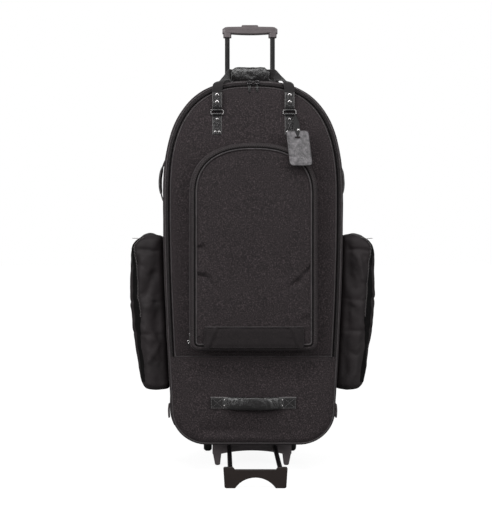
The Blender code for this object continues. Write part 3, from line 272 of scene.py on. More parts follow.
def foamLining(name, color):
    mat = newMaterial(name, color, 0.95, Sheen_Weight=0.35, Sheen_Roughness=0.5, Specular_IOR_Level=0.2)
    coords = objectCoords(mat)
    nap = noiseNode(mat, coords, 260, 4, 0.7)
    setColor(mat, rampNode(mat, nap, [(0.3, shade(color, 0.70)), (0.7, shade(color, 1.25))]))
    setBump(mat, (noiseNode(mat, coords, 35, 3), 0.3, 0.002), (nap, 0.5, 0.0012))
    return mat


cloth = wovenCloth("woven_cloth", clothLook)
bandCloth = wovenCloth("band_cloth", clothLook, 0.86)
darkCloth = wovenCloth("dark_cloth", dict(clothLook, speckScale=900), 0.52)
# the same cloth made darker for the front pocket's face, painting its shade
pocketClothShaded = wovenCloth("pocket_cloth", clothLook, 0.90)
nylon = softNylon("soft_nylon", nylonLook)
webbing = webbingCloth("strap_webbing", strapLook)
hide = grainedLeather("black_leather", leatherLook["color"], leatherLook["grain"], 0.22, 0.40, 0.50)
softHide = grainedLeather("dull_leather", (0.0032, 0.0029, 0.0030), 500, 0.60, 0.78)
tagHide = grainedLeather("grey_leather", (0.092, 0.086, 0.091), 240, 0.30, 0.50, mottle=1.9, patch=75)
piping = grainedLeather("piping_cord", (0.041, 0.034, 0.036), 900, 0.42, 0.58)
# near-black material for tubes and tape that paint the shade of the zip gaps and of the side pockets' rounded outer
# edges
paintedShadeBlack = grainedLeather("painted_shade_black", (0.0026, 0.0022, 0.0023), 900, 0.72, 0.86)
paintedShadeBlack.node_tree.nodes["Principled BSDF"].inputs["Specular IOR Level"].default_value = 0.15
moulded = mouldedPlastic("moulded_plastic", (0.1280, 0.1090, 0.1130), 0.36)
standPlastic = mouldedPlastic("stand_plastic", (0.0205, 0.0140, 0.0124), 0.36)
rubber = tyreRubber("wheel_rubber", (0.012, 0.0115, 0.0115))
gunMetal = brushedMetal("gun_metal", (0.33, 0.32, 0.32), 0.15, (80, 80, 80))
nickel = brushedMetal("bright_nickel", (0.34, 0.33, 0.33), 0.10, (60, 60, 60))
blackMetal = brushedMetal("black_metal", (0.085, 0.082, 0.084), 0.20, (60, 60, 60))
darkTube = mouldedPlastic("dark_enamel", (0.0060, 0.0052, 0.0056), 0.30, 900)
tubeSteel = brushedMetal("tube_steel", (0.30, 0.29, 0.29), 0.26)
zipTeeth = mouldedPlastic("zip_teeth", (0.016, 0.0155, 0.016), 0.32, 2500)
# side zip teeth, far lighter than the main zip's teeth, paint the glints along the chain
teethPaintedGlint = mouldedPlastic("teeth_painted_glint", (0.150, 0.138, 0.140), 0.34, 2500)
zipTape = wovenCloth("zip_tape", dict(color=(0.0220, 0.0178, 0.0188), threadPitch=0.0007, speckScale=900,
                                      patchScale=20))
bandTape = wovenCloth("band_tape", dict(color=(0.0330, 0.0270, 0.0285), threadPitch=0.0011, speckScale=500,
                                        patchScale=30))
coilTeeth = mouldedPlastic("coil_teeth", (0.052, 0.046, 0.047), 0.40, 2500)
thread = newMaterial("sewing_thread", (0.026, 0.021, 0.0225), 0.62, Sheen_Weight=0.1)
paleThread = newMaterial("pale_thread", (0.170, 0.160, 0.162), 0.50, Sheen_Weight=0.2)
for mat in (thread, paleThread):
    setBump(mat, (waveNode(mat, objectCoords(mat), "DIAGONAL", 0.0006), 0.5, 0.0002))
lining = foamLining("lining_foam", (0.055, 0.053, 0.054))
boardSheet = mouldedPlastic("board_sheet", (0.045, 0.045, 0.045), 0.50, 600)
print("materials made")


# Modelling helpers

sides = ((-1, "left"), (1, "right"))


def deselectAll():
    bpy.ops.object.select_all(action="DESELECT")


def makeActive(obj):
    deselectAll()
    obj.select_set(True)
    bpy.context.view_layer.objects.active = obj


def applyModifier(obj, kind, **settings):
    makeActive(obj)
    mod = obj.modifiers.new(kind.lower(), kind)
    for key, value in settings.items():
        setattr(mod, key, value)
    bpy.ops.object.modifier_apply(modifier=mod.name)


def loft(name, rings, ends="cap"):
    # a circle laid on the first outline is extruded and laid on each next one
    deselectAll()
    bpy.ops.mesh.primitive_circle_add(vertices=len(rings[0]))
    obj = bpy.context.active_object
    obj.name = name
    obj.data.name = name
    obj.data.attributes.new("place", "INT", "POINT")
    obj.data.attributes.new("row", "INT", "POINT")
    obj.data.attributes["place"].data.foreach_set("value", list(range(len(rings[0]))))
    for v, p in zip(obj.data.vertices, rings[0]):
        v.co = p
    bpy.ops.object.mode_set(mode="EDIT")
    bpy.ops.mesh.select_all(action="SELECT")
    for r, ring in enumerate(rings[1:], 1):
        bpy.ops.mesh.extrude_edges_indiv()
        mesh = bmesh.from_edit_mesh(obj.data)
        place = mesh.verts.layers.int["place"]
        row = mesh.verts.layers.int["row"]
        for v in mesh.verts:
            if v.select:
                v[row] = r
                v.co = ring[v[place]]
    last = len(rings) - 1
    wanted = [(last,), (0,)] if ends == "cap" else [(0, last)] if ends == "loop" else []
    for rows in wanted:
        bpy.ops.mesh.select_all(action="DESELECT")
        mesh = bmesh.from_edit_mesh(obj.data)
        row = mesh.verts.layers.int["row"]
        for e in mesh.edges:
            if e.verts[0][row] == e.verts[1][row] and e.verts[0][row] in rows:
                e.select_set(True)
        bmesh.update_edit_mesh(obj.data)
        if ends == "cap":
            bpy.ops.mesh.edge_face_add()
        else:
            bpy.ops.mesh.bridge_edge_loops()
    bpy.ops.mesh.select_all(action="SELECT")
    bpy.ops.mesh.normals_make_consistent(inside=False)
    bpy.ops.object.mode_set(mode="OBJECT")
    return obj


def rowsOf(obj):
    rows = [0] * len(obj.data.vertices)
    obj.data.attributes["row"].data.foreach_get("value", rows)
    return rows


def dropMarks(obj):
    for mark in ("place", "row"):
        if mark in obj.data.attributes:
            obj.data.attributes.remove(obj.data.attributes[mark])


def finish(obj, body, material, replaces=(), angle=40, subdivide=0):
    dropMarks(obj)
    if subdivide:
        applyModifier(obj, "SUBSURF", levels=subdivide, render_levels=subdivide)
    makeActive(obj)
    bpy.ops.object.shade_smooth_by_angle(angle=math.radians(angle))
    if material and not obj.data.materials:
        obj.data.materials.append(material)
    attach(obj, body)
    if replaces:
        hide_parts(*replaces)
    return obj


def frameAt(normal, t):
    # the surface directions at a point of a seam or a chain
    n = Vector(normal).normalized()
    side = n.cross(t).normalized()
    return side, t.cross(side)


def copiesOf(model, places, name):
    # one object made of copies of a modelled piece, each with its own mesh; the model is used up
    whole = bmesh.new()
    for place in places:
        mesh = model.data.copy()
        mesh.transform(place)
        whole.from_mesh(mesh)
        bpy.data.meshes.remove(mesh)
    made = bpy.data.meshes.new(name)
    whole.to_mesh(made)
    whole.free()
    obj = bpy.data.objects.new(name, made)
    bpy.context.scene.collection.objects.link(obj)
    bpy.data.objects.remove(model, do_unlink=True)
    return obj


def evenly(points, count, closed=True):
    points = [Vector(p) for p in points]
    if closed:
        points.append(points[0])
    reach = [0.0]
    for a, b in zip(points, points[1:]):
        reach.append(reach[-1] + (b - a).length)
    steps = count if closed else count - 1
    result, j = [], 0
    for i in range(count):
        goal = reach[-1] * i / steps
        while j < len(points) - 2 and reach[j + 1] < goal:
            j += 1
        span = reach[j + 1] - reach[j]
        result.append(points[j].lerp(points[j + 1], (goal - reach[j]) / span if span else 0))
    return result


def curveThrough(points, steps):
    # Catmull-Rom through the points
    points = [Vector(p) for p in points]
    padded = [2 * points[0] - points[1], *points, 2 * points[-1] - points[-2]]
    path = []
    for a, b, c, d in zip(padded, padded[1:], padded[2:], padded[3:]):
        for i in range(steps):
            t = i / steps
            path.append(0.5 * (2 * b + (c - a) * t + (2 * a - 5 * b + 4 * c - d) * t * t
                               + (3 * b - a - 3 * c + d) * t ** 3))
    path.append(points[-1])
    return path


def tangents(path, closed=False):
    count = len(path)
    if closed:
        return [(path[(i + 1) % count] - path[i - 1]).normalized() for i in range(count)]
    return [(path[min(i + 1, count - 1)] - path[max(i - 1, 0)]).normalized() for i in range(count)]


def tubeAlong(name, path, radius, sides=8, closed=False):
    rings = []
    for p, t in zip(path, tangents(path, closed)):
        one = t.cross(Vector((0, 1, 0)) if abs(t.y) < 0.9 else Vector((1, 0, 0))).normalized()
        other = t.cross(one)
        rings.append([p + radius * (one * math.cos(2 * math.pi * i / sides) + other * math.sin(2 * math.pi * i / sides))
                      for i in range(sides)])
    return loft(name, rings, "loop" if closed else "cap")


def clamp(value, low=0.0, high=1.0):
    return max(low, min(high, value))


def swell(value, power):
    # a sine or cosine made fuller or slimmer, for padded sections
    return abs(value) ** power * (1 if value > 0 else -1)


def straight(start, stop, count):
    # count + 1 points from start to stop
    return [Vector(start).lerp(Vector(stop), i / count) for i in range(count + 1)]


def markStrap(obj, reach, widths):
    # how far each point lies along and across a strap, for its weave
    rows = rowsOf(obj)
    places = [0] * len(rows)
    obj.data.attributes["place"].data.foreach_get("value", places)
    for name, values in (("along", [reach[r] for r in rows]), ("across", [widths[i] for i in places])):
        obj.data.attributes.new(name, "FLOAT", "POINT")
        obj.data.attributes[name].data.foreach_set("value", values)


def strap(name, path, acrossOf, width, thickness):
    # flat strap with rounded edges; it keeps its own along and across values for the weave
    # acrossOf is one way across for each point, or gives it from the point and its direction
    half, edge = width / 2, thickness / 2
    lower = [(-half, 0), (-half + edge * 0.6, -edge * 0.8), (-half + edge * 2, -edge), (0, -edge),
             (half - edge * 2, -edge), (half - edge * 0.6, -edge * 0.8)]
    shape = lower + [(-u, -v) for u, v in lower]
    path = [Vector(p) for p in path]
    rings = []
    for i, (p, t) in enumerate(zip(path, tangents(path))):
        across = Vector(acrossOf(p, t) if callable(acrossOf) else acrossOf[i])
        across = (across - t * across.dot(t)).normalized()
        normal = t.cross(across).normalized()
        rings.append([p + across * u + normal * v for u, v in shape])
    obj = loft(name, rings)
    reach = [0.0]
    for a, b in zip(path, path[1:]):
        reach.append(reach[-1] + (b - a).length)
    markStrap(obj, reach, [u for u, v in shape])
    return obj


def roundedBox(cx, cy, halfX, halfY, radius, steps=5):
    points = []
    for quarter, (sx, sy) in enumerate(((1, 1), (-1, 1), (-1, -1), (1, -1))):
        for i in range(steps + 1):
            a = math.pi / 2 * (quarter + i / steps)
            points.append((cx + sx * (halfX - radius) + radius * math.cos(a),
                           cy + sy * (halfY - radius) + radius * math.sin(a)))
    return points


def toFront(p, t):
    return 0, -1, 0


def toBack(p, t):
    return 0, 1, 0


def stitchModel(length, radius):
    deselectAll()
    bpy.ops.mesh.primitive_cylinder_add(vertices=6, radius=radius, depth=length, rotation=(0, math.pi / 2, 0))
    obj = bpy.context.active_object
    bpy.ops.object.transform_apply(location=True, rotation=True, scale=True)
    for v in obj.data.vertices:  # the thread dips into the cloth at both ends
        v.co.z -= radius * 0.9
    return obj


def stitches(name, path, normalOf, body, closed=False, length=0.0032, pitch=0.0048, radius=0.00045, slot="webbing"):
    path = [Vector(p) for p in path]
    total = sum((b - a).length for a, b in zip(path, path[1:])) + ((path[0] - path[-1]).length if closed else 0)
    spots = evenly(path, max(2, int(total / pitch)), closed)
    places = []
    for p, t in zip(spots, tangents(spots, closed)):
        side, n = frameAt(normalOf(p, t), t)
        places.append(Matrix.Translation(p + n * radius) @ Matrix((t, side, n)).transposed().to_4x4())
    obj = copiesOf(stitchModel(length, radius), places, name)
    return finish(obj, body, paleThread if slot == "hide" else thread)


def dome(name, radius, height):
    # rivet head: a sphere's upper half, pressed flat
    deselectAll()
    bpy.ops.mesh.primitive_uv_sphere_add(segments=16, ring_count=8, radius=radius)
    obj = bpy.context.active_object
    obj.name = name
    bpy.ops.object.mode_set(mode="EDIT")
    bpy.ops.mesh.select_all(action="SELECT")
    bpy.ops.mesh.bisect(plane_co=(0, 0, -radius * 0.05), plane_no=(0, 0, 1), clear_inner=True, use_fill=True)
    bpy.ops.object.mode_set(mode="OBJECT")
    for v in obj.data.vertices:
        v.co.z *= height / radius
    return obj


def rivets(name, spots, normal, body, radius=0.0036, height=0.0016):
    turn = Vector((0, 0, 1)).rotation_difference(Vector(normal)).to_matrix().to_4x4()
    obj = copiesOf(dome(name + "Model", radius, height), [Matrix.Translation(p) @ turn for p in spots], name)
    return finish(obj, body, nickel)


def wobble(p, scale, seed):
    return noise.noise(Vector((p[0] + seed * 3.1, p[1] - seed * 1.7, p[2] + seed * 2.3)) * scale)


def pushOut(obj, amountOf):
    # moves each point along its normal by amountOf(point, normal)
    moves = [(v, Vector(v.normal)) for v in obj.data.vertices]
    for v, n in moves:
        v.co += n * amountOf(v.co, n)


# Bag outline

bag = dict(top=1.185, bottom=0.084, halfWidth=0.2725, shoulder=0.82, archPower=2.7, hip=0.19, cornerCentre=0.139,
           cornerWidth=0.110, edgeRound=0.030, seam=0.352, lip=46.0, zipStart=47.5, zipEnd=68.0, points=240)
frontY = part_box("lid_panel")[0].y
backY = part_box("tub_shell")[1].y
middleY = (frontY + backY) / 2


def rawOutline(inset):
    hipX = bag["cornerCentre"] + bag["cornerWidth"]
    right = []
    for i in range(40):
        a = math.pi / 2 * i / 39
        right.append((bag["cornerCentre"] + (bag["cornerWidth"] - inset) * math.sin(a),
                      bag["hip"] - (bag["hip"] - bag["bottom"] - inset) * math.cos(a)))
    for i in range(1, 30):
        f = i / 30
        right.append((hipX + (bag["halfWidth"] - hipX) * math.sin(f * math.pi / 2) - inset,
                      bag["hip"] + (bag["shoulder"] - bag["hip"]) * f))
    for i in range(120):
        a = math.pi / 2 * i / 120
        right.append(((bag["halfWidth"] - inset) * math.cos(a) ** (2 / bag["archPower"]),
                      bag["shoulder"] + (bag["top"] - bag["shoulder"] - inset) * math.sin(a) ** (2 / bag["archPower"])))
    left = [(-x, z) for x, z in reversed(right)]
    return [(0, bag["bottom"] + inset), *right, (0, bag["top"] - inset), *left]


def bagRing(inset, y, count=None):
    flat = evenly([(x, z, 0) for x, z in rawOutline(inset)], count or bag["points"])
    return [Vector((p.x, y, p.y)) for p in flat]


def onRound(angle, radius):
    a = math.radians(angle)
    return bag["edgeRound"] - radius * math.cos(a), frontY + bag["edgeRound"] - radius * math.sin(a)


def sideX(z, inset=0.0):
    half = [p for p in rawOutline(inset) if p[0] > 0]
    for (xa, za), (xb, zb) in zip(half, half[1:]):
        if za <= z <= zb:
            return xa + (xb - xa) * (z - za) / (zb - za)
    return half[-1][0]


def topZ(x, inset=0.0):
    half = [p for p in rawOutline(inset) if p[0] >= 0 and p[1] > bag["shoulder"]]
    for (xa, za), (xb, zb) in zip(half, half[1:]):
        if xb <= abs(x) <= xa:
            return za + (zb - za) * (xa - abs(x)) / (xa - xb)
    return bag["top"] - inset


def toCentre(ring, share, centre):
    return [Vector(centre) + (p - Vector(centre)) * share for p in ring]


# Bag shell: gusset and back with their padding

shell = dict(wall=0.012, backWall=0.014, bulge=0.0022, ripple=0.0009)


def makeShell():
    wall, r = shell["wall"], bag["edgeRound"]
    backCentre = (0, backY - shell["backWall"], 0.66)
    innerBack = bagRing(wall + 0.012, backY - shell["backWall"])
    rings = [toCentre(innerBack, s, backCentre) for s in (0.04, 0.35, 0.7)]
    rings += [innerBack, bagRing(wall, backY - shell["backWall"] - 0.012), bagRing(wall, frontY + r)]
    for angle in (bag["lip"] / 2, bag["lip"]):
        rings.append(bagRing(*onRound(angle, r - wall)))
    innerRows = len(rings)
    for i in range(5):
        rings.append(bagRing(*onRound(bag["lip"] * (1 - i / 4), r)))
    for i in range(1, 14):
        rings.append(bagRing(0, frontY + r + (backY - frontY - 2 * r) * i / 14))
    for i in range(7):
        a = math.radians(90 * i / 6)
        rings.append(bagRing(r - r * math.cos(a), backY - r + r * math.sin(a)))
    outerBack = rings[-1]
    for s in (0.94, 0.86, 0.75, 0.62, 0.48, 0.33, 0.18, 0.04):
        rings.append(toCentre(outerBack, s, (0, backY, 0.66)))
    obj = loft("bag_shell", rings)
    rows = rowsOf(obj)
    for face in obj.data.polygons:
        face.material_index = 1 if min(rows[i] for i in face.vertices) < innerRows - 1 else 0
    for v, n in [(v, Vector(v.normal)) for v in obj.data.vertices if rows[v.index] >= innerRows + 2]:
        p = v.co
        low = clamp((p.z - 0.10) / 0.10)
        across = (p.y - frontY - r) / (backY - frontY - 2 * r)
        amount = wobble(p, 13, 1) * shell["ripple"] + wobble(p, 34, 2) * shell["ripple"] * 0.4
        if 0 < across < 1:
            amount += shell["bulge"] * math.sin(math.pi * across) ** 0.6
        v.co += n * amount * low * (0.35 if n.y > 0.9 else 1)
    obj.data.materials.append(cloth)
    obj.data.materials.append(lining)
    finish(obj, "bag", None, ["tub_shell"], 60)
    for name, angle, y in (("rim_piping", bag["lip"] - 2, None), ("back_piping", 45, backY)):
        inset, depth = onRound(angle, r + 0.0010)
        if y:
            depth = backY - r + (r + 0.0010) * math.sin(math.radians(45))
        path = bagRing(inset, depth, 320)
        finish(tubeAlong(name, path, 0.0020, 8, True), "bag", piping)


makeShell()
print("bag shell")


# Lid, lower front and their seams

lid = dict(thickness=0.014, crown=0.0028, rim=0.0045, ripple=0.0010, gap=0.0006, centre=0.80)
lowFront = dict(rimGap=1.5, inner=0.016, crown=0.0030, centre=0.235)


def cutOutline(inset, level, keepAbove, along, acrossCount):
    # the part of the bag's outline above or below a level, closed by a straight run
    full = rawOutline(inset)
    half = [p for p in full if p[0] > 0]
    edge = sideX(level, inset)
    if keepAbove:
        right = [(edge, level)] + [p for p in half if p[1] > level]
        curve = right + [(0, bag["top"] - inset)] + [(-x, z) for x, z in reversed(right)]
    else:
        right = [p for p in half if p[1] < level] + [(edge, level)]
        curve = [(-x, z) for x, z in reversed(right)] + [(0, bag["bottom"] + inset)] + right
    run = evenly([(x, z, 0) for x, z in curve], along, False)
    start, stop = run[-1], run[0]
    bridge = [start.lerp(stop, i / acrossCount) for i in range(1, acrossCount)]
    return [(p.x, p.y) for p in run + bridge]


def archRun(inset, y, level, count=260):
    # open run up one side of the bag, over its top and down the other
    return [Vector((x, y, z)) for x, z in cutOutline(inset, level, True, count, 2)[:count]]


def crownedPanel(name, rings, steps, centre, crown, bendOf, power=5, fade=12):
    # the rings lead round the rim to the front edge; from there the face closes, crowned and bent
    shares = [1 - (i / steps) ** 0.9 * 0.97 for i in range(1, steps + 1)]
    obj = loft(name, rings + [toCentre(rings[-1], s, centre) for s in shares])
    for v, row in zip(obj.data.vertices, rowsOf(obj)):
        if row >= len(rings):
            s = shares[row - len(rings)]
            v.co.y -= crown * (1 - s ** power) + bendOf(v.co.x, v.co.z) * min(1.0, (1 - s) * fade)
    return obj


def makeFront():
    lidInset = onRound(bag["zipEnd"], bag["edgeRound"] - 0.0025)[0] + lid["gap"]
    level = bag["seam"] + lid["gap"]

    def bend(x, z):
        p = (x, 0, z)
        pull = 0.0012 * math.exp(-((z - bag["seam"] - 0.035) / 0.018) ** 2) * wobble((x, 0, 0), 22, 4)
        return wobble(p, 9, 3) * lid["ripple"] * 1.6 + wobble(p, 26, 5) * lid["ripple"] * 0.5 + pull

    rim, back = lid["rim"], frontY + lid["thickness"]
    rings = [[Vector((x, y, z)) for x, z in cutOutline(lidInset + inset, level + inset, True, 240, 60)]
             for inset, y in ((rim * 0.5, back), (0, back - rim * 0.5), (0, frontY + rim),
                              (rim * 0.3, frontY + rim * 0.3), (rim, frontY))]
    made = crownedPanel("lid_cloth", rings, 22, (0, frontY, lid["centre"]), lid["crown"], bend)
    finish(made, "lid", cloth, ["lid_panel"], 60)

    def lowBend(x, z):
        p = (x, 2, z)
        sag = 0.0030 * math.exp(-((z - 0.128) / 0.020) ** 2) * (0.5 + wobble((x, 1, 0), 16, 7))
        under = 0.020 * max(0.0, (0.190 - z) / 0.10) ** 2 * (0.7 + wobble((x, 3, 0), 9, 9))
        return wobble(p, 10, 6) * 0.0016 + wobble(p, 28, 8) * 0.0005 + sag - under

    start = bag["lip"] + lowFront["rimGap"]
    rings = []
    for angle, radius in ((start, lowFront["inner"]), *((a, bag["edgeRound"]) for a in (start, 54, 62, 70, 78, 90))):
        inset, y = onRound(angle, radius)
        rings.append([Vector((x, y, z)) for x, z in cutOutline(inset, bag["seam"] - 0.0004, False, 200, 60)])
    made = crownedPanel("lower_front_cloth", rings, 14, (0, frontY, lowFront["centre"]), lowFront["crown"], lowBend)
    finish(made, "bag", cloth, ["lower_front_panel"], 60)

    # piping round the lid, thinner along its lower seam
    arch = archRun(lidInset + 0.0042, frontY + 0.0002, level + 0.001)
    finish(tubeAlong("lid_piping", arch, 0.0019), "lid", piping)
    edgeX = sideX(level, lidInset) - 0.001
    seam = straight((-edgeX, frontY - 0.0002, level + 0.0012), (edgeX, frontY - 0.0002, level + 0.0012), 40)
    finish(tubeAlong("seam_piping", seam, 0.0013), "lid", piping)
    reach = edgeX - 0.008
    for name, z, body in (("lid_seam_stitches", level + 0.010, "lid"), ("low_seam_stitches", level - 0.011, "bag")):
        run = straight((-reach, frontY - 0.0020, z), (reach, frontY - 0.0020, z), 60)
        stitches(name, run, toFront, body, slot="cloth")


makeFront()
print("lid and lower front")


# Main zip: tape, chain and a near-black tube beside it that paints the shade of the gap

mainZip = dict(tape=0.0016, pitch=0.0030, tooth=(0.0030, 0.0016, 0.0013), middle=57.75,
               sliderX=0.0115, loopZ=1.1768)


def zipToothModel(size):
    deselectAll()
    bpy.ops.mesh.primitive_cube_add(size=1)
    obj = bpy.context.active_object
    obj.scale = size
    bpy.ops.object.transform_apply(location=True, rotation=True, scale=True)
    applyModifier(obj, "BEVEL", width=min(size) * 0.28, segments=1)
    return obj


def zipChain(name, path, normalOf, body, pitch, size, material, closed=False):
    # two rows of teeth that mesh over the path
    path = [Vector(p) for p in path]
    total = sum((b - a).length for a, b in zip(path, path[1:]))
    spots = evenly(path, int(total / pitch), closed)
    places = []
    for i, (p, t) in enumerate(zip(spots, tangents(spots, closed))):
        side, n = frameAt(normalOf(p, t), t)
        way = 1 if i % 2 else -1
        places.append(Matrix.Translation(p + side * way * size[0] * 0.22) @ Matrix((side, t, n)).transposed().to_4x4())
    obj = copiesOf(zipToothModel(size), places, name)
    return finish(obj, body, material)


def makeMainZip():
    thick, level = mainZip["tape"], bag["seam"]
    start, middleAngle, end = bag["zipStart"], mainZip["middle"], bag["zipEnd"]
    section = ((start, 0.0300), (52, 0.0297), (middleAngle, 0.0296), (63, 0.0297), (end, 0.0300),
               (end, 0.0300 - thick), (middleAngle, 0.0294 - thick), (start, 0.0300 - thick))
    rows = [archRun(*onRound(angle, radius), level + 0.0003) for angle, radius in section]
    rings = [list(ring) for ring in zip(*rows)]
    finish(loft("zip_tape_band", rings), "bag", zipTape, ["main_zip"], 50)
    path = archRun(*onRound(middleAngle, 0.0304), level + 0.004, 600)
    middle = Vector((0, frontY + bag["edgeRound"], 0.66))

    def outward(p, t):
        flat = Vector((0, -1, 0)).cross(t)
        flat = flat if flat.dot(p - middle) > 0 else -flat
        return flat * 0.53 + Vector((0, -0.85, 0))

    zipChain("zip_chain", path, outward, "bag", mainZip["pitch"], mainZip["tooth"], zipTeeth)
    # a near-black tube along the lid edge paints the shadow in the gap beside the zip
    path = archRun(*onRound(66.5, 0.0301), level + 0.002)
    finish(tubeAlong("zip_gap_painted_shade", path, 0.0015), "bag", paintedShadeBlack)


makeMainZip()
print("main zip")


# Front pocket

pocket = dict(half=0.1874, top=0.989, shoulder=0.8355, power=2.4, bottom=0.376, corner=0.024, points=480,
              crown=0.0065, rimInset=0.0140, pipingInset=0.0176, wall=0.004, coilLow=0.42)
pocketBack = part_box("pocket_gusset")[1].y
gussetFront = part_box("pocket_gusset")[0].y
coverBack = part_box("pocket_cover")[1].y
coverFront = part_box("pocket_cover")[0].y


def pocketOutline(inset, count=None):
    # arched top, straight sides and rounded lower corners
    r = pocket["corner"] - inset
    right = []
    for i in range(10):
        a = math.pi / 2 * i / 9
        right.append((pocket["half"] - pocket["corner"] + max(r, 0.002) * math.sin(a),
                      pocket["bottom"] + pocket["corner"] - max(r, 0.002) * math.cos(a)))
    for i in range(90):
        a = math.pi / 2 * i / 90
        right.append(((pocket["half"] - inset) * math.cos(a) ** (2 / pocket["power"]),
                      pocket["shoulder"] + (pocket["top"] - pocket["shoulder"] - inset)
                      * math.sin(a) ** (2 / pocket["power"])))
    left = [(-x, z) for x, z in reversed(right)]
    flat = evenly([(x, z, 0) for x, z in [(0, pocket["bottom"] + inset), *right, (0, pocket["top"] - inset), *left]],
                  count or pocket["points"])
    return [(p.x, p.y) for p in flat]


def pocketRing(inset, y, count=None):
    return [Vector((x, y, z)) for x, z in pocketOutline(inset, count)]


creases = (  # start, end, depth and half width, in metres on the cover
    ((-0.172, 0.682), (-0.150, 0.676), 0.0062, 0.0052), ((-0.152, 0.682), (-0.124, 0.643), 0.0052, 0.0080),
    ((-0.172, 0.602), (-0.136, 0.590), 0.0085, 0.0058), ((-0.146, 0.594), (-0.095, 0.540), 0.0056, 0.0110),
    ((0.172, 0.624), (0.116, 0.566), 0.0085, 0.0062), ((0.130, 0.578), (0.090, 0.552), 0.0050, 0.0100),
    ((0.160, 0.470), (0.120, 0.455), 0.0040, 0.0100), ((-0.165, 0.410), (-0.150, 0.388), 0.0050, 0.0060),
)


def creaseDepth(x, z):
    # a valley along each stroke, with a ridge above it
    depth = 0.0
    for (xa, za), (xb, zb), deep, width in creases:
        a, b, p = Vector((xa, za)), Vector((xb, zb)), Vector((x, z))
        t = clamp((p - a).dot(b - a) / (b - a).length_squared)
        near = a.lerp(b, t)
        away = (p - near).length
        fade = 1 - 0.75 * t
        depth += deep * fade * math.exp(-(away / width) ** 2)
        depth -= 0.75 * deep * fade * math.exp(-((p - near - Vector((0, 1.9 * width))).length / width) ** 2)
    return depth


def fromGap(points):
    # what is left of a ring once its bottom is cut out, starting after the gap
    start = next((i for i in range(1, len(points)) if (points[i] - points[i - 1]).length > 0.05), 0)
    return points[start:] + points[:start]


def makePocket():
    wall = pocket["wall"]
    rings = [pocketRing(-0.0025, pocketBack), pocketRing(-0.0012, pocketBack - 0.0020)]
    for i in range(1, 8):
        f = i / 8
        y = pocketBack - 0.002 + (gussetFront - pocketBack + 0.002) * f
        rings.append(pocketRing(-0.0016 * math.sin(math.pi * f), y))
    rings += [pocketRing(0, gussetFront), pocketRing(wall, gussetFront), pocketRing(wall, pocketBack - wall)]
    inner = len(rings) - 1
    rings += [toCentre(rings[-1], s, (0, pocketBack - wall, 0.68)) for s in (0.7, 0.35, 0.04)]
    obj = loft("pocket_tray", rings)
    rows = rowsOf(obj)
    for face in obj.data.polygons:
        face.material_index = 1 if min(rows[i] for i in face.vertices) >= inner - 1 else 0
    for v, n in [(v, Vector(v.normal)) for v in obj.data.vertices if 1 < rows[v.index] < 8]:
        v.co += n * (wobble(v.co, 30, 11) * 0.0012)
    obj.data.materials.append(bandCloth)
    obj.data.materials.append(lining)
    finish(obj, "lid", None, ["pocket_gusset"], 50)
    path = pocketRing(-0.0032, frontY - 0.0030, 300)
    finish(tubeAlong("pocket_base_piping", path, 0.0016, 8, True), "lid", piping)

    def bend(x, z):
        p = (x, 5, z)
        sag = 0.0030 * math.exp(-((z - 0.50) / 0.10) ** 2)
        return wobble(p, 8, 12) * 0.0022 + wobble(p, 24, 13) * 0.0007 + sag - creaseDepth(x, z)

    section = ((0.0012, coverBack), (0, coverBack - 0.0012), (-0.0006, coverBack - 0.004),
               (0.0010, coverBack - 0.0075), (0.0045, coverFront + 0.0022), (pocket["rimInset"], coverFront))
    rings = [pocketRing(inset, y) for inset, y in section]
    obj = crownedPanel("pocket_front", rings, 60, (0, coverFront, 0.66), pocket["crown"], bend, 4, 14)
    finish(obj, "pocket_lid", pocketClothShaded, ["pocket_cover"], 60)
    finish(tubeAlong("pocket_piping", pocketRing(pocket["pipingInset"], coverFront - 0.0018, 320), 0.0026, 10, True),
           "pocket_lid", piping)
    chain = pocketRing(-0.0006, coverBack + 0.0003, 500)
    centre = Vector((0, coverBack, 0.68))
    path = fromGap([p for p in chain if p.z > pocket["bottom"] + pocket["corner"]])
    zipChain("pocket_zip_chain", path, lambda p, t: p - centre, "lid", 0.0030, (0.0026, 0.0016, 0.0011), zipTeeth)

    # coil zip and its tape on the cover's front edge, rising over the arch
    section = ((0.0022, 0.0024), (0.0058, -0.0004), (0.0100, -0.0012), (0.0118, -0.0004), (0.0118, 0.0016),
               (0.0030, 0.0034))
    band = [pocketRing(inset, coverFront + depth, 300) for inset, depth in section]
    rings = [list(ring) for ring in zip(*band)]
    finish(loft("pocket_band", rings, "loop"), "pocket_lid", bandTape, angle=50)
    path = fromGap([p for p in pocketRing(0.0074, coverFront - 0.0016, 620) if p.z > pocket["coilLow"]])
    zipChain("pocket_coil", path, toFront, "pocket_lid", 0.0034, (0.0046, 0.0022, 0.0016), coilTeeth)
    # a near-black tube between the coil tape and the cover paints the shade of the gap there
    path = pocketRing(0.0136, coverFront - 0.0010, 320)
    finish(tubeAlong("pocket_gap_painted_shade", path, 0.0021, 8, True), "pocket_lid", paintedShadeBlack)


makePocket()
print("front pocket")


flatPocket = dict(half=0.147, low=0.383, high=0.445, corner=0.006)


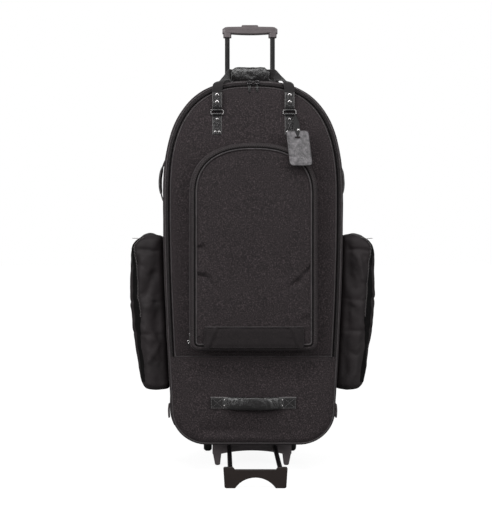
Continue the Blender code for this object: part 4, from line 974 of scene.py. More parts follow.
def makeFlatPocket():
    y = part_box("flat_pocket")[0].y - pocket["crown"] + 0.0022
    middle = (flatPocket["low"] + flatPocket["high"]) / 2
    half = (flatPocket["high"] - flatPocket["low"]) / 2
    shape = [(x, z, 0) for x, z in roundedBox(0, middle, flatPocket["half"], half, flatPocket["corner"], 4)]
    outline = [(p.x, p.y) for p in evenly(shape, 300)]

    def ring(inset, depth):
        k = 1 - inset / half
        kx = 1 - inset / flatPocket["half"]
        return [Vector((x * kx, depth, middle + (z - middle) * k)) for x, z in outline]

    rings = [ring(0, y + 0.0040), ring(0, y + 0.0008), ring(0.0012, y), ring(0.004, y - 0.0002)]
    for i in range(1, 9):
        rings.append(ring(0.004 + (half - 0.0045) * i / 8, y - 0.0024 * math.sin(math.pi / 2 * min(1, i / 3))))
    obj = loft("flat_pocket_cloth", rings)

    def pulled(p, n):
        # the ends are drawn up from the lower corners
        up = (p.z - flatPocket["low"]) / (2 * half)
        away = flatPocket["half"] - abs(p.x) - 0.010 - 0.026 * up
        fold = 0.0026 * math.exp(-(away / 0.0055) ** 2) - 0.0022 * math.exp(-((away - 0.012) / 0.007) ** 2)
        return fold + wobble(p, 40, 21) * 0.0014 + wobble((p.x, 0, p.z * 0.2), 30, 22) * 0.0012

    pushOut(obj, pulled)
    finish(obj, "pocket_lid", darkCloth, ["flat_pocket"], 50)
    reach, top = flatPocket["half"] - 0.002, flatPocket["high"] + 0.0006
    hem = straight((-reach, y - 0.0010, top), (reach, y - 0.0010, top), 40)
    finish(tubeAlong("flat_pocket_hem", hem, 0.0014), "pocket_lid", piping)
    line = [Vector((x * 0.985, y - 0.0012, middle + (z - middle) * 0.92)) for x, z in outline]
    stitches("flat_pocket_stitches", line, toFront, "pocket_lid", True, slot="cloth")


makeFlatPocket()


# Side pockets: soft nylon, blown up by a cloth simulation, then sewn across

sidePocket = dict(low=0.244, high=0.722, front=0.048, depth=0.270, reach=0.3715, round=0.030, belly=0.0385, slope=0.041,
                  slopeIn=0.032, seams={-1: (0.5166, 0.4192), 1: (0.5257, 0.4314)}, voxel=0.0055, frames=16, cap=0.007)
pocketFolds = {  # on the face: start and end as (distance from the middle, height), depth, half width
    -1: (((0.338, 0.640), (0.345, 0.530), 0.0050, 0.010), ((0.300, 0.600), (0.330, 0.530), -0.0060, 0.012),
         ((0.300, 0.668), (0.352, 0.676), -0.0045, 0.006), ((0.345, 0.655), (0.362, 0.600), -0.0030, 0.008),
         ((0.322, 0.500), (0.326, 0.430), 0.0030, 0.012), ((0.292, 0.480), (0.296, 0.430), -0.0040, 0.012),
         ((0.312, 0.400), (0.322, 0.300), 0.0040, 0.012), ((0.285, 0.385), (0.318, 0.330), 0.0040, 0.009),
         ((0.300, 0.330), (0.285, 0.270), -0.0050, 0.014), ((0.340, 0.400), (0.330, 0.290), -0.0028, 0.009)),
    1: (((0.322, 0.650), (0.336, 0.585), 0.0045, 0.008), ((0.338, 0.655), (0.350, 0.570), -0.0040, 0.009),
        ((0.295, 0.676), (0.352, 0.672), -0.0045, 0.006), ((0.292, 0.620), (0.305, 0.560), -0.0050, 0.012),
        ((0.320, 0.510), (0.334, 0.445), 0.0028, 0.014), ((0.290, 0.500), (0.292, 0.435), -0.0050, 0.012),
        ((0.318, 0.410), (0.314, 0.300), 0.0036, 0.014), ((0.288, 0.400), (0.284, 0.300), -0.0055, 0.014),
        ((0.306, 0.290), (0.292, 0.262), 0.0036, 0.007), ((0.340, 0.420), (0.336, 0.300), -0.0026, 0.009)),
}


def pocketReach(z):
    f = (z - sidePocket["low"]) / (sidePocket["high"] - sidePocket["low"])
    belly = sidePocket["belly"] * (1 - math.sin(math.pi / 2 * min(1, f / 0.70)))
    slope = sidePocket["slopeIn"] * max(0, (z - sidePocket["high"] + sidePocket["slope"]) / sidePocket["slope"]) ** 1.6
    return sidePocket["reach"] - belly - slope


def sideSection(z, drawn, side):
    inner = sideX(z) + 0.0004
    outer = pocketReach(z) - drawn * 0.5 - 0.002
    front = frontY + sidePocket["front"] + drawn + 0.001
    back = frontY + sidePocket["front"] + sidePocket["depth"] - drawn - 0.001
    r = sidePocket["round"]
    tuck = 0.014
    shape = []
    for i in range(7):
        a = math.pi / 2 * i / 6
        shape.append((inner + 0.030 * (1 - math.cos(a)), front + tuck * (1 - math.sin(a))))
    for i in range(9):
        a = math.pi / 2 * i / 8
        shape.append((outer - r + r * math.sin(a), front + r - r * math.cos(a)))
    for i in range(9):
        a = math.pi / 2 * i / 8
        shape.append((outer - r + r * math.cos(a), back - r + r * math.sin(a)))
    for i in range(7):
        a = math.pi / 2 * i / 6
        shape.append((inner + 0.030 * (1 - math.sin(a)), back - tuck * (1 - math.cos(a))))
    return [Vector((side * p.x, p.y, z)) for p in evenly([(x, y, 0) for x, y in shape], 90)]


def blowUp(obj, frames, cap, pressure=4.0):
    # short cloth run with inner pressure; no point moves further than the cap
    start = [v.co.copy() for v in obj.data.vertices]
    makeActive(obj)
    mod = obj.modifiers.new("cloth", "CLOTH")
    mod.settings.use_pressure = True
    mod.settings.uniform_pressure_force = pressure
    mod.settings.effector_weights.gravity = 0
    mod.settings.quality = 4
    mod.settings.tension_stiffness = 12
    mod.settings.bending_stiffness = 0.4
    mod.point_cache.frame_start, mod.point_cache.frame_end = 1, frames
    for f in range(1, frames + 1):
        bpy.context.scene.frame_set(f)
    bpy.ops.object.modifier_apply(modifier=mod.name)
    bpy.context.scene.frame_set(1)
    for v, p in zip(obj.data.vertices, start):
        move = v.co - p
        if move.length > cap:
            v.co = p + move.normalized() * cap


def puff(obj, voxel, cap, frames=12):
    # padding for a small piece: an even mesh, a short blow up and a light smoothing
    dropMarks(obj)
    applyModifier(obj, "REMESH", mode="VOXEL", voxel_size=voxel)
    blowUp(obj, frames, cap)
    applyModifier(obj, "SMOOTH", factor=0.5, iterations=2)


def foldHeight(folds, x, z):
    # soft ridges and valleys along short strokes
    height = 0.0
    for (xa, za), (xb, zb), deep, width in folds:
        a, b, p = Vector((xa, za)), Vector((xb, zb)), Vector((x, z))
        t = clamp((p - a).dot(b - a) / (b - a).length_squared)
        height += deep * math.exp(-((p - a.lerp(b, t)).length / width) ** 2)
    return height


def makeSidePocket(side):
    name = "left" if side < 0 else "right"
    low, high = sidePocket["low"], sidePocket["high"]
    rings = []
    count = 34
    for i in range(count + 1):
        z = low + (high - low) * i / count
        end = min(z - low, high - z)
        drawn = 0.012 * max(0.0, 1 - end / 0.018) ** 2
        rings.append(sideSection(z, drawn, side))
    rings.insert(0, toCentre(rings[0], 0.5, sum(rings[0], Vector()) / len(rings[0])))
    rings.append(toCentre(rings[-1], 0.5, sum(rings[-1], Vector()) / len(rings[-1])))
    obj = loft("side_pocket_cloth_" + name, rings)
    puff(obj, sidePocket["voxel"], sidePocket["cap"], sidePocket["frames"])
    seed = 40 + side
    frontFace = frontY + sidePocket["front"]
    for v, n in [(v, Vector(v.normal)) for v in obj.data.vertices]:
        p = v.co
        out = clamp((abs(p.x) - sideX(p.z) - 0.004) / 0.02)
        f = (p.z - low) / (high - low)
        tall = wobble((p.x * 1.6, p.y * 1.6, p.z * 0.32), 17, seed)
        slant = wobble((p.x + p.z * 0.55, p.y + p.z * 0.5, p.z * 0.45), 24, seed + 3)
        amount = tall * 0.0046 + slant * 0.0036 + wobble(p, 60, seed + 5) * 0.0008
        amount *= 0.55 + 0.45 * math.sin(math.pi * min(1, f))
        near = max(0.0, 1 - (p.y - frontFace) / 0.030)
        amount += foldHeight(pocketFolds[side], abs(p.x), p.z) * near
        for k, seam in enumerate(sidePocket["seams"][side]):
            away = abs(p.z - seam + 0.006 * math.sin((abs(p.x) - 0.28) * 30 + k))
            amount -= 0.0022 * math.exp(-(away / 0.0022) ** 2)
            amount += 0.0009 * math.exp(-((away - 0.014) / 0.009) ** 2) * (1 + wobble((p.x, p.y, seam), 45, seed + 8))
        lip = abs(p.z - high + 0.046 + 0.010 * abs(n.x))
        amount -= 0.0022 * math.exp(-(lip / 0.0032) ** 2) * min(1.0, near + 0.4)
        v.co += n * amount * out
        v.co.x = side * max(abs(v.co.x), sideX(max(min(v.co.z, high), low)) + 0.0003)
        v.co.z = min(max(v.co.z, low - 0.004), high + 0.006)
    finish(obj, "bag", nylon, ["side_pocket_" + name], 70, 1)

    # zip over the sloping top and down the outer front edge, on a black tape; the tape runs on round the outer edge to
    # 84 degrees as a near-black sheet that paints the shade of the rounded edge
    r = sidePocket["round"]

    def edgePoint(z, angle, lift):
        a = math.radians(angle)
        return Vector((pocketReach(z) - r + (r + lift) * math.sin(a), frontFace + r - (r + lift) * math.cos(a), z))

    def onCloth(z, angle, lift):
        p = edgePoint(z, angle, 0.002)
        spot, n = obj.closest_point_on_mesh(Vector((side * p.x, p.y, p.z)))[1:3]
        return spot + n * lift

    def zipAngle(z):
        # the zip bends away from the outer edge as it runs down
        return 44 - 26 * clamp((high - z) / 0.21)

    heights = [p.z for p in evenly([(0, 0, high - 0.003), (0, 0, 0.270)], 90, False)]
    rings = []
    for z in heights:
        inner = zipAngle(z) - 5 + 34 * clamp((0.480 - z) / 0.10)
        angles = [inner + (84 - inner) * i / 7 for i in range(8)]
        outside = [onCloth(z, angle, 0.0012 - 0.0009 * (i in (0, 7))) for i, angle in enumerate(angles)]
        rings.append(outside + [onCloth(z, angle, -0.0012) for angle in reversed(angles[1:])])
    finish(loft("side_zip_tape_and_edge_shade_" + name, rings), "bag", paintedShadeBlack, angle=50)
    # the side chain's light teeth paint the glints along the zip
    path = [onCloth(z, zipAngle(z) + 3, 0.0016) for z in heights if z > 0.470]
    zipChain("side_zip_chain_" + name, path, lambda p, t: obj.closest_point_on_mesh(p)[2], "bag", 0.0042,
             (0.0038, 0.0022, 0.0018), teethPaintedGlint)
    path = [onCloth(z, zipAngle(z) - 6, 0.0006) for z in heights if z > 0.470]
    finish(tubeAlong("side_zip_welt_" + name, path, 0.0013), "bag", nylon)


for side in (-1, 1):
    makeSidePocket(side)
print("side pockets")


# Carry handle: webbing, leather tabs, rings and the wrap

carry = dict(spacing=0.2172, width=0.030, thickness=0.0025, tabWidth=0.029, tabTop=1.145, tabLow=1.0194, lowerBar=1.080,
             ringHeight=0.0125, ringWidth=0.0378, wire=0.0016, lift=0.0037, wrapCentre=1.2295, wrapHalf=0.0605,
             wrapHeight=0.045, wrapThickness=0.013, seat=0.0003, barRadius=0.0045, upperRivets=(1.1374, 1.1164),
             lowerRivets=((0, 1.0651), (-0.0062, 1.0270), (0.0062, 1.0270)))
upperBar = carry["lowerBar"] + carry["ringHeight"]
barY = frontY - carry["seat"] - carry["barRadius"]
strapY = frontY - carry["seat"] - carry["lift"] - carry["thickness"] / 2
wrapY = middleY - 0.009


def carryStrap(name, right, leans, loopY, body, node):
    # runs from the right end up through the wrap and down the left side, turning as it goes
    centre = carry["wrapCentre"]
    inside = carry["wrapHalf"] - 0.004
    path = curveThrough([*right, (carry["wrapHalf"] + 0.003, loopY, centre)], 8) + [Vector((inside, loopY, centre))]
    ways = curveThrough([*leans, (0, 0, 1)], 8) + [Vector((0, 0, 1))]
    path += [Vector((-p.x, p.y, p.z)) for p in reversed(path)]
    ways += [Vector((-a.x, a.y, a.z)) for a in reversed(ways)]
    obj = strap(name, path, ways, carry["width"], carry["thickness"])
    obj.data.materials.append(webbing)
    edgesOf(obj, strapEdgeHighlight, carry["width"] / 2 - 0.0016)
    return finish(obj, body, None, [node], 50)


def edgesOf(obj, material, limit):
    # the cut edges of a strap get a second material, lighter than the face, that paints the highlight along them
    values = [0.0] * len(obj.data.vertices)
    obj.data.attributes["across"].data.foreach_get("value", values)
    obj.data.materials.append(material)
    index = len(obj.data.materials) - 1
    for face in obj.data.polygons:
        if min(abs(values[i]) for i in face.vertices) > limit:
            face.material_index = index


# a light colour on leather edges paints the highlight their rounded edges catch
leatherEdgeHighlight = grainedLeather("leather_edge_painted_highlight", (0.150, 0.138, 0.138), 900, 0.26, 0.40)
# a light colour on the webbing's edges paints the highlight along them
strapEdgeHighlight = webbingCloth("webbing_edge_painted_highlight", dict(color=(0.060, 0.054, 0.056), ribPitch=0.0012))


def crosses(name, box, body, **settings):
    # both diagonals of a sewn box
    for k, (a, b) in enumerate(((0, 2), (1, 3))):
        stitches(f"{name}{k}", straight(box[a], box[b], 12), toFront, body, **settings)


def makeTab(name, x, y, barHeight, tip, body, node):
    # one strip of leather folded round the ring's bar and sewn to itself
    turn = 1 if tip < barHeight else -1
    front, back, loop = y - 0.0014, y + 0.0011, 0.0033
    path = [Vector((x, front, tip)), Vector((x, front - 0.0002, tip + (barHeight - tip) * 0.5)),
            Vector((x, front - 0.0004, barHeight - turn * 0.0075))]
    for i in range(9):
        a = math.radians(-150 + 300 * i / 8)
        path.append(Vector((x, barY + loop * math.sin(a), barHeight + turn * loop * math.cos(a))))
    path += [Vector((x, back, barHeight - turn * 0.0075)), Vector((x, back, tip + turn * 0.004))]
    obj = strap(name, curveThrough(path, 3), lambda p, t: (1, 0, 0), carry["tabWidth"], 0.0022)
    obj.data.materials.append(hide)
    edgesOf(obj, leatherEdgeHighlight, carry["tabWidth"] / 2 - 0.0012)
    finish(obj, body, None, [node], 50)
    side, low, high = carry["tabWidth"] / 2 - 0.0026, min(tip, barHeight) + 0.003, max(tip, barHeight) - 0.003
    near, far = (high - 0.007, low) if turn > 0 else (low + 0.007, high)
    face = front - 0.0012
    box = [Vector((x + u, face, z)) for u, z in ((-side, near), (side, near), (side, far), (-side, far))]
    fine = dict(length=0.0026, pitch=0.0036, radius=0.00038, slot="hide")
    stitches(name + "_stitches", box + [box[0]], toFront, body, True, **fine)
    crosses(name + "_cross_", box, body, **fine)


def makeCarryHandle():
    x = carry["spacing"] / 2
    for side, word in sides:
        corners = roundedBox(side * x, (carry["lowerBar"] + upperBar) / 2, carry["ringWidth"] / 2,
                             carry["ringHeight"] / 2, 0.0022, 4)
        path = [Vector((px, barY, pz)) for px, pz in corners]
        ring = tubeAlong("strap_ring_" + word, path, carry["wire"], 12, True)
        finish(ring, "carry_handle", gunMetal, ["ring_" + word], 60)
        makeTab("upper_leather_" + word, side * x, strapY - carry["thickness"] / 2 - 0.0012, upperBar, carry["tabTop"],
                "carry_handle", "upper_tab_" + word)
        makeTab("lower_leather_" + word, side * x, frontY - carry["seat"] - 0.0024, carry["lowerBar"], carry["tabLow"],
                "lid", "lower_tab_" + word)
        face = strapY - carry["thickness"] / 2 - 0.0036
        spots = [(side * x, face, z) for z in carry["upperRivets"]]
        rivets("upper_rivets_" + word, spots, (0, -1, 0), "carry_handle", 0.0068, 0.0032)
        face = frontY - carry["seat"] - 0.0048
        spots = [(side * x + u, face, z) for u, z in carry["lowerRivets"]]
        rivets("lower_rivets_" + word, spots, (0, -1, 0), "lid", 0.0048, 0.0024)
    crest = topZ(x - carry["width"] * 0.8) + 0.0019
    right = [(x, strapY, upperBar + 0.0062), (x, strapY, upperBar + 0.030), (x, strapY, carry["tabTop"] + 0.002),
             (x - 0.002, strapY + 0.002, crest - 0.014), (x - 0.009, frontY + 0.011, crest - 0.001),
             (x - 0.021, frontY + 0.036, crest + 0.006), (x - 0.031, frontY + 0.087, crest + 0.018),
             (carry["wrapHalf"] + 0.011, wrapY - 0.013, carry["wrapCentre"] - 0.002)]
    leans = [(1, 0, 0), (1, 0, 0), (1, 0, 0), (1, 0.05, -0.10), (0.97, 0.25, -0.16), (0.88, 0.42, -0.02),
             (0.66, 0.05, 0.60), (0.12, -0.10, 0.98)]
    carryStrap("carry_strap", right, leans, wrapY, "carry_handle", "carry_webbing")

    back = backY + 0.0006 + carry["thickness"] / 2
    edge = topZ(x, bag["edgeRound"])
    loopY = wrapY + carry["wrapThickness"] / 2 + 0.0006 + carry["thickness"] / 2
    right = [(x, back, 1.030), (x, back, 1.090), (x, back + 0.001, edge - 0.004),
             (x - 0.001, backY - 0.005, crest - 0.003), (x - 0.012, backY - 0.034, crest + 0.012),
             (x - 0.027, backY - 0.095, crest + 0.026),
             (carry["wrapHalf"] + 0.012, loopY + 0.013, carry["wrapCentre"] - 0.002)]
    leans = [(1, 0, 0), (1, 0, 0), (1, 0, 0), (0.97, -0.20, -0.16), (0.88, -0.40, -0.04), (0.66, -0.05, 0.60),
             (0.12, 0.10, 0.98)]
    carryStrap("rear_strap", right, leans, loopY, "bag", "rear_webbing")
    for side, word in sides:
        low, high, wide = 1.034, 1.062, 0.0115
        face = back + carry["thickness"] / 2 + 0.0002
        box = [Vector((side * x + a * wide, face, z)) for a, z in ((-1, low), (1, low), (1, high), (-1, high))]
        stitches("rear_strap_box_" + word, box + [box[0]], toBack, "bag", True)
        stitches("rear_strap_cross_" + word, straight(box[0], box[2], 12), toBack, "bag")


def makeWrap():
    # padded leather sleeve: taller in the middle, its upper corners cut back, bound at both ends
    half, height, thick = carry["wrapHalf"] + 0.0022, carry["wrapHeight"] / 2, carry["wrapThickness"] / 2
    shift = -0.0050
    rings = []
    for i in range(41):
        f = -1 + 2 * i / 40
        near = max(0.0, (abs(f) - 0.72) / 0.28)
        top = height * (1 - 0.56 * near)
        low = height * (1.12 - 0.06 * near)
        fat = thick * (1.10 - 0.40 * abs(f) ** 5)
        ring = []
        for k in range(36):
            a = 2 * math.pi * k / 36
            c, s = math.cos(a), math.sin(a)
            y = fat * swell(c, 0.95)
            z = (top if s > 0 else low) * swell(s, 0.80)
            ring.append(Vector((shift + half * f, wrapY + y, carry["wrapCentre"] + z)))
        rings.append(ring)
    obj = loft("grip_leather", rings)
    puff(obj, 0.0022, 0.0012)
    pushOut(obj, lambda p, n: wobble(p, 70, 51) * 0.0012 + wobble(p, 160, 52) * 0.0005)
    finish(obj, "carry_handle", hide, ["grip_wrap"], 60)
    for side, word in sides:
        edge = rings[1] if side < 0 else rings[-2]
        centre = Vector((edge[0].x, wrapY, carry["wrapCentre"]))
        path = [centre + (p - centre) * 1.03 for p in edge]
        finish(tubeAlong("grip_binding_" + word, path, 0.0014, 8, True), "carry_handle", hide)
    reach, y, z = half * 0.9, wrapY - thick * 0.82, carry["wrapCentre"] - height * 0.66
    seam = straight((shift - reach, y, z), (shift + reach, y, z), 30)
    stitches("grip_stitches", seam, lambda p, t: (0, -1, -0.3), "carry_handle", slot="webbing")


makeCarryHandle()
makeWrap()
print("carry handle")


# Luggage tag and its loop

tag = dict(lean=26, half=0.0335, length=0.121, thickness=0.003, x=0.1340, slotX=0.1305, drop=0.058, slant=0.07,
           corner=0.0115, slotWide=0.0085, slotHigh=0.0040)
tagEdge = grainedLeather("tag_edge", (0.018, 0.017, 0.0175), 900, 0.45, 0.60)


def makeTag():
    lean = math.radians(tag["lean"])
    down = Vector((0, -math.sin(lean), -math.cos(lean)))
    ahead = Vector((0, -math.cos(lean), math.sin(lean)))
    pivot = Vector((0, barY, carry["lowerBar"]))
    centre = pivot + down * (tag["drop"] + tag["length"] / 2) + Vector((tag["x"], 0, 0))
    slot = pivot + down * (tag["drop"] + 0.024) + Vector((tag["slotX"], 0, 0))
    flat = evenly([(a, b, 0) for a, b in roundedBox(0, 0, tag["half"], tag["length"] / 2, tag["corner"], 6)], 112)
    slotU, slotV = (slot - centre).dot(Vector((1, 0, 0))), (slot - centre).dot(down)

    def outer(depth, inset):
        kx, kz = 1 - inset / tag["half"], 1 - inset / (tag["length"] / 2)
        ring = []
        for p in flat:
            u, v = p.x * kx, p.y * kz
            curl = 0.0012 * (u / tag["half"]) ** 2
            ring.append(centre + Vector((u + tag["slant"] * v, 0, 0)) + down * v + ahead * (depth + curl))
        return ring

    angles = [math.atan2(p.y - slotV, p.x - slotU) for p in flat]

    def inner(depth, grow):
        ring = []
        for a in angles:
            u, v = slotU + (tag["slotWide"] + grow) * math.cos(a), slotV + (tag["slotHigh"] + grow) * math.sin(a)
            ring.append(centre + Vector((u, 0, 0)) + down * v + ahead * depth)
        return ring

    half = tag["thickness"] / 2
    rings = [outer(-half, 0.0010), outer(-half + 0.0010, 0), outer(half - 0.0010, 0), outer(half, 0.0010),
             outer(half + 0.0003, 0.0035), outer(half - 0.0001, 0.0050)]
    far = rings[-1]
    near = inner(half, 0.0)
    for s in (0.25, 0.5, 0.75):
        rings.append([a.lerp(b, s) for a, b in zip(far, near)])
    rings += [inner(half, 0.0004), inner(half - 0.0006, 0), inner(-half + 0.0006, 0), inner(-half, 0.0004)]
    obj = loft("tag_leather", rings, "loop")
    rows = rowsOf(obj)
    for face in obj.data.polygons:
        around = {rows[i] for i in face.vertices}
        face.material_index = 1 if max(around) <= 3 and len(around) > 1 else 0
    obj.data.materials.append(tagHide)
    obj.data.materials.append(tagEdge)
    pushOut(obj, lambda p, n: wobble(p, 40, 61) * 0.0003)
    finish(obj, "tag", None, ["luggage_tag"], 50)
    line = [centre + Vector((p.x * 0.90 + tag["slant"] * p.y * 0.945, 0, 0)) + down * p.y * 0.945
            + ahead * (half + 0.0012 * (p.x * 0.9 / tag["half"]) ** 2) for p in flat]
    stitches("tag_stitches", line, lambda p, t: ahead, "tag", True, slot="tag_hide")

    loopX = carry["spacing"] / 2 + carry["tabWidth"] / 2 + 0.0012
    turn = carry["wire"] + 0.0014
    stand = half + 0.0012
    # each spot is (place, half width, half thickness): round the ring, down behind, through the slot and up in front
    spots = []
    for i in range(7):
        a = math.pi * i / 6
        place = pivot + Vector((loopX, 0, 0)) + ahead * turn * math.cos(a) - down * turn * math.sin(a)
        spots.append((place, 0.0009, 0.0009))
    stations = ((0.010, 0.25, 0.0026), (0.017, 0.45, 0.0056), (0.030, 0.70, 0.0078), (0.042, 0.85, 0.0084),
                (tag["drop"] - 0.004, 0.95, 0.0080), (tag["drop"] + 0.007, 1.0, 0.0066),
                (tag["drop"] + 0.016, 1.0, 0.0044))

    def strand(drop, share, wide, off):
        return pivot + Vector((loopX + (tag["slotX"] - loopX) * share, 0, 0)) + down * drop + ahead * off, wide, 0.0007

    spots += [strand(*station, -stand) for station in stations]
    spots.append((slot - down * 0.0010, 0.0024, 0.0008))
    spots += [strand(*station, stand) for station in reversed(stations)]
    rings = []
    count = len(spots)
    for i, (p, wide, thick) in enumerate(spots):
        t = (spots[(i + 1) % count][0] - spots[i - 1][0]).normalized()
        n = t.cross(Vector((1, 0, 0))).normalized()
        turns = [2 * math.pi * k / 12 for k in range(12)]
        rings.append([p + Vector((1, 0, 0)) * wide * math.cos(a) + n * thick * math.sin(a) for a in turns])
    finish(loft("tag_loop", rings, "loop"), "tag", softHide, ["tag_cord"], 60, 1)
    snap = pivot + Vector((tag["slotX"] + 0.003, 0, 0)) + down * (tag["drop"] - 0.002) + ahead * (stand + 0.0006)
    rivets("tag_snap", [snap], ahead, "tag", 0.0056, 0.0026)


makeTag()
print("luggage tag")


# Leather grab handles: one across the lower front, one on each side

grab = dict(half=0.1285, flat=0.040, thickness=0.005, strap=0.0034, width=0.036, z=0.2147, stand=0.022, lift=0.0036,
            padHalf=0.080)
sideGrab = dict(low=0.800, high=0.988, thickness=0.004, strap=0.0034, width=0.036, stand=0.013, lift=0.0030)


def gripPad(name, spots, across, fatOf, tallOf, shift, count):
    # padded wrap over the middle of a grab handle, gathered at its ends
    rings = []
    for i, (p, t) in enumerate(zip(spots, tangents(spots))):
        f = -1 + 2 * i / (len(spots) - 1)
        n = t.cross(Vector(across)).normalized()
        turns = [2 * math.pi * k / count for k in range(count)]
        rings.append([p + n * (shift + fatOf(f) * swell(math.cos(a), 0.8))
                      + Vector(across) * tallOf(f) * swell(math.sin(a), 0.75) for a in turns])
    return loft(name, rings)


def makeBottomHandle():
    path = []
    for i in range(61):
        x = -grab["half"] + 2 * grab["half"] * i / 60
        f = clamp((grab["half"] - abs(x) - grab["flat"]) / (grab["half"] - grab["flat"]))
        y = frontY - grab["lift"] - grab["thickness"] / 2 - grab["stand"] * math.sin(f * math.pi / 2) ** 0.8
        path.append(Vector((x, y, grab["z"])))
    obj = strap("bottom_grab", path, lambda p, t: (0, 0, 1), grab["width"], grab["strap"])
    obj.data.materials.append(hide)
    edgesOf(obj, leatherEdgeHighlight, grab["width"] / 2 - 0.0012)
    finish(obj, "bag", None, ["bottom_handle"], 50)

    def fat(f):
        return 0.0028 + 0.0048 * (1 - abs(f) ** 5)

    def tall(f):
        return grab["width"] / 2 + 0.0008 + 0.0010 * (1 - abs(f) ** 6)

    spots = [p for p in path if abs(p.x) < grab["padHalf"]]
    pad = gripPad("bottom_grab_pad", spots, (0, 0, 1), fat, tall, -0.0003, 28)
    puff(pad, 0.0018, 0.0008)
    pushOut(pad, lambda p, n: wobble((p.x * 1.6, p.y, p.z), 50, 71) * 0.0011 + wobble(p, 110, 72) * 0.0003)
    finish(pad, "bag", hide, (), 60)
    for side, word in sides:
        low, high = grab["z"] - 0.0148, grab["z"] + 0.0148
        face = frontY - grab["lift"] - grab["thickness"] / 2 - 0.0020
        near, far = side * 0.0905, side * 0.1255
        box = [Vector((a, face, b)) for a, b in ((near, low), (far, low), (far, high), (near, high))]
        stitches("bottom_grab_box_" + word, box + [box[0]], toFront, "bag", True, slot="hide")
        crosses(f"bottom_grab_cross_{word}_", box, "bag", slot="hide")
        spots = [(side * 0.0850, face - 0.0012, grab["z"] + off) for off in (0.0085, -0.0085)]
        rivets("bottom_grab_rivets_" + word, spots, (0, -1, 0), "bag", 0.0042, 0.0020)


def makeSideGrab(side, word):
    low, high, thickness = sideGrab["low"], sideGrab["high"], sideGrab["thickness"]
    path = []
    for i in range(49):
        f = i / 48
        z = low + (high - low) * f
        stand = sideGrab["stand"] * max(0.0, math.sin(math.pi * clamp((f - 0.14) / 0.72))) ** 0.7
        path.append(Vector((side * (sideX(z) + sideGrab["lift"] + thickness / 2 + stand), middleY, z)))
    obj = strap("side_grab_" + word, path, toBack, sideGrab["width"], sideGrab["strap"])
    obj.data.materials.append(hide)
    edgesOf(obj, leatherEdgeHighlight, sideGrab["width"] / 2 - 0.0012)
    finish(obj, "bag", None, ["side_handle_" + word], 50)
    pad = gripPad("side_grab_pad_" + word, path[13:36], (0, 1, 0), lambda f: 0.0024 + 0.0022 * (1 - abs(f) ** 5),
                  lambda f: 0.0186, 0.0, 24)
    puff(pad, 0.0020, 0.0008)
    pushOut(pad, lambda p, n: wobble(p, 55, 74) * 0.0006)
    finish(pad, "bag", hide, (), 60)
    for k, (a, b) in enumerate(((low + 0.003, low + 0.024), (high - 0.024, high - 0.003))):
        x = side * (sideX((a + b) / 2) + sideGrab["lift"] + thickness + 0.0002)
        box = [Vector((x, middleY + w * 0.0145, z)) for w, z in ((-1, a), (1, a), (1, b), (-1, b))]
        stitches(f"side_grab_box_{word}_{k}", box + [box[0]], lambda p, t: (side, 0, 0), "bag", True, slot="hide")


makeBottomHandle()
for side, word in sides:
    makeSideGrab(side, word)
print("grab handles")


# Shoulder straps on the back, their tails running round to the lower side

shoulder = dict(pad=0.055, padThickness=0.010, padLength=0.535, tail=0.025, tailThickness=0.0022, lift=0.0015,
                padPath=((0.128, 1.015), (0.134, 0.90), (0.150, 0.78), (0.172, 0.66), (0.188, 0.56), (0.195, 0.49)),
                tailPath=((0.194, 0.50), (0.202, 0.43), (0.216, 0.35), (0.240, 0.285), (0.285, 0.240), (0.345, 0.223),
                          (0.430, 0.215), (0.490, 0.208), (0.522, 0.190), (0.532, 0.165), (0.533, 0.138)),
                buckle=(0.531, 0.180), bars=((-0.016, -0.0125, 0.0125, 0.016),
                                             (-0.021, -0.016, -0.006, 0.0, 0.012, 0.021)))


def roundBack(u, z, lift):
    flat = sideX(z) - bag["edgeRound"]
    turn = bag["edgeRound"] * math.pi / 2
    if u <= flat:
        return Vector((u, backY + lift, z))
    if u <= flat + turn:
        a = (u - flat) / bag["edgeRound"]
        corner = Vector((flat, backY - bag["edgeRound"], z))
        return corner + Vector((math.sin(a), math.cos(a), 0)) * (bag["edgeRound"] + lift)
    return Vector((sideX(z) + lift, backY - bag["edgeRound"] - (u - flat - turn), z))


def wrapped(name, stations, side, shape, steps):
    # a strap laid on the back and round to the side; its section is (across, lift) pairs
    route = curveThrough([(u, z, 0) for u, z in stations], steps)
    rings, reach = [], [0.0]
    for p, t in zip(route, tangents(route)):
        sideways = Vector((t.y, -t.x, 0))
        ring = []
        for u, lift in shape(reach[-1]):
            q = p + sideways * u
            point = roundBack(q.x, q.y, lift)
            ring.append(Vector((side * point.x, point.y, point.z)))
        rings.append(ring)
        if len(reach) < len(route):
            reach.append(reach[-1] + (route[len(reach)] - p).length)
    obj = loft(name, rings)
    markStrap(obj, reach, [u for u, lift in shape(0.1)])
    return obj


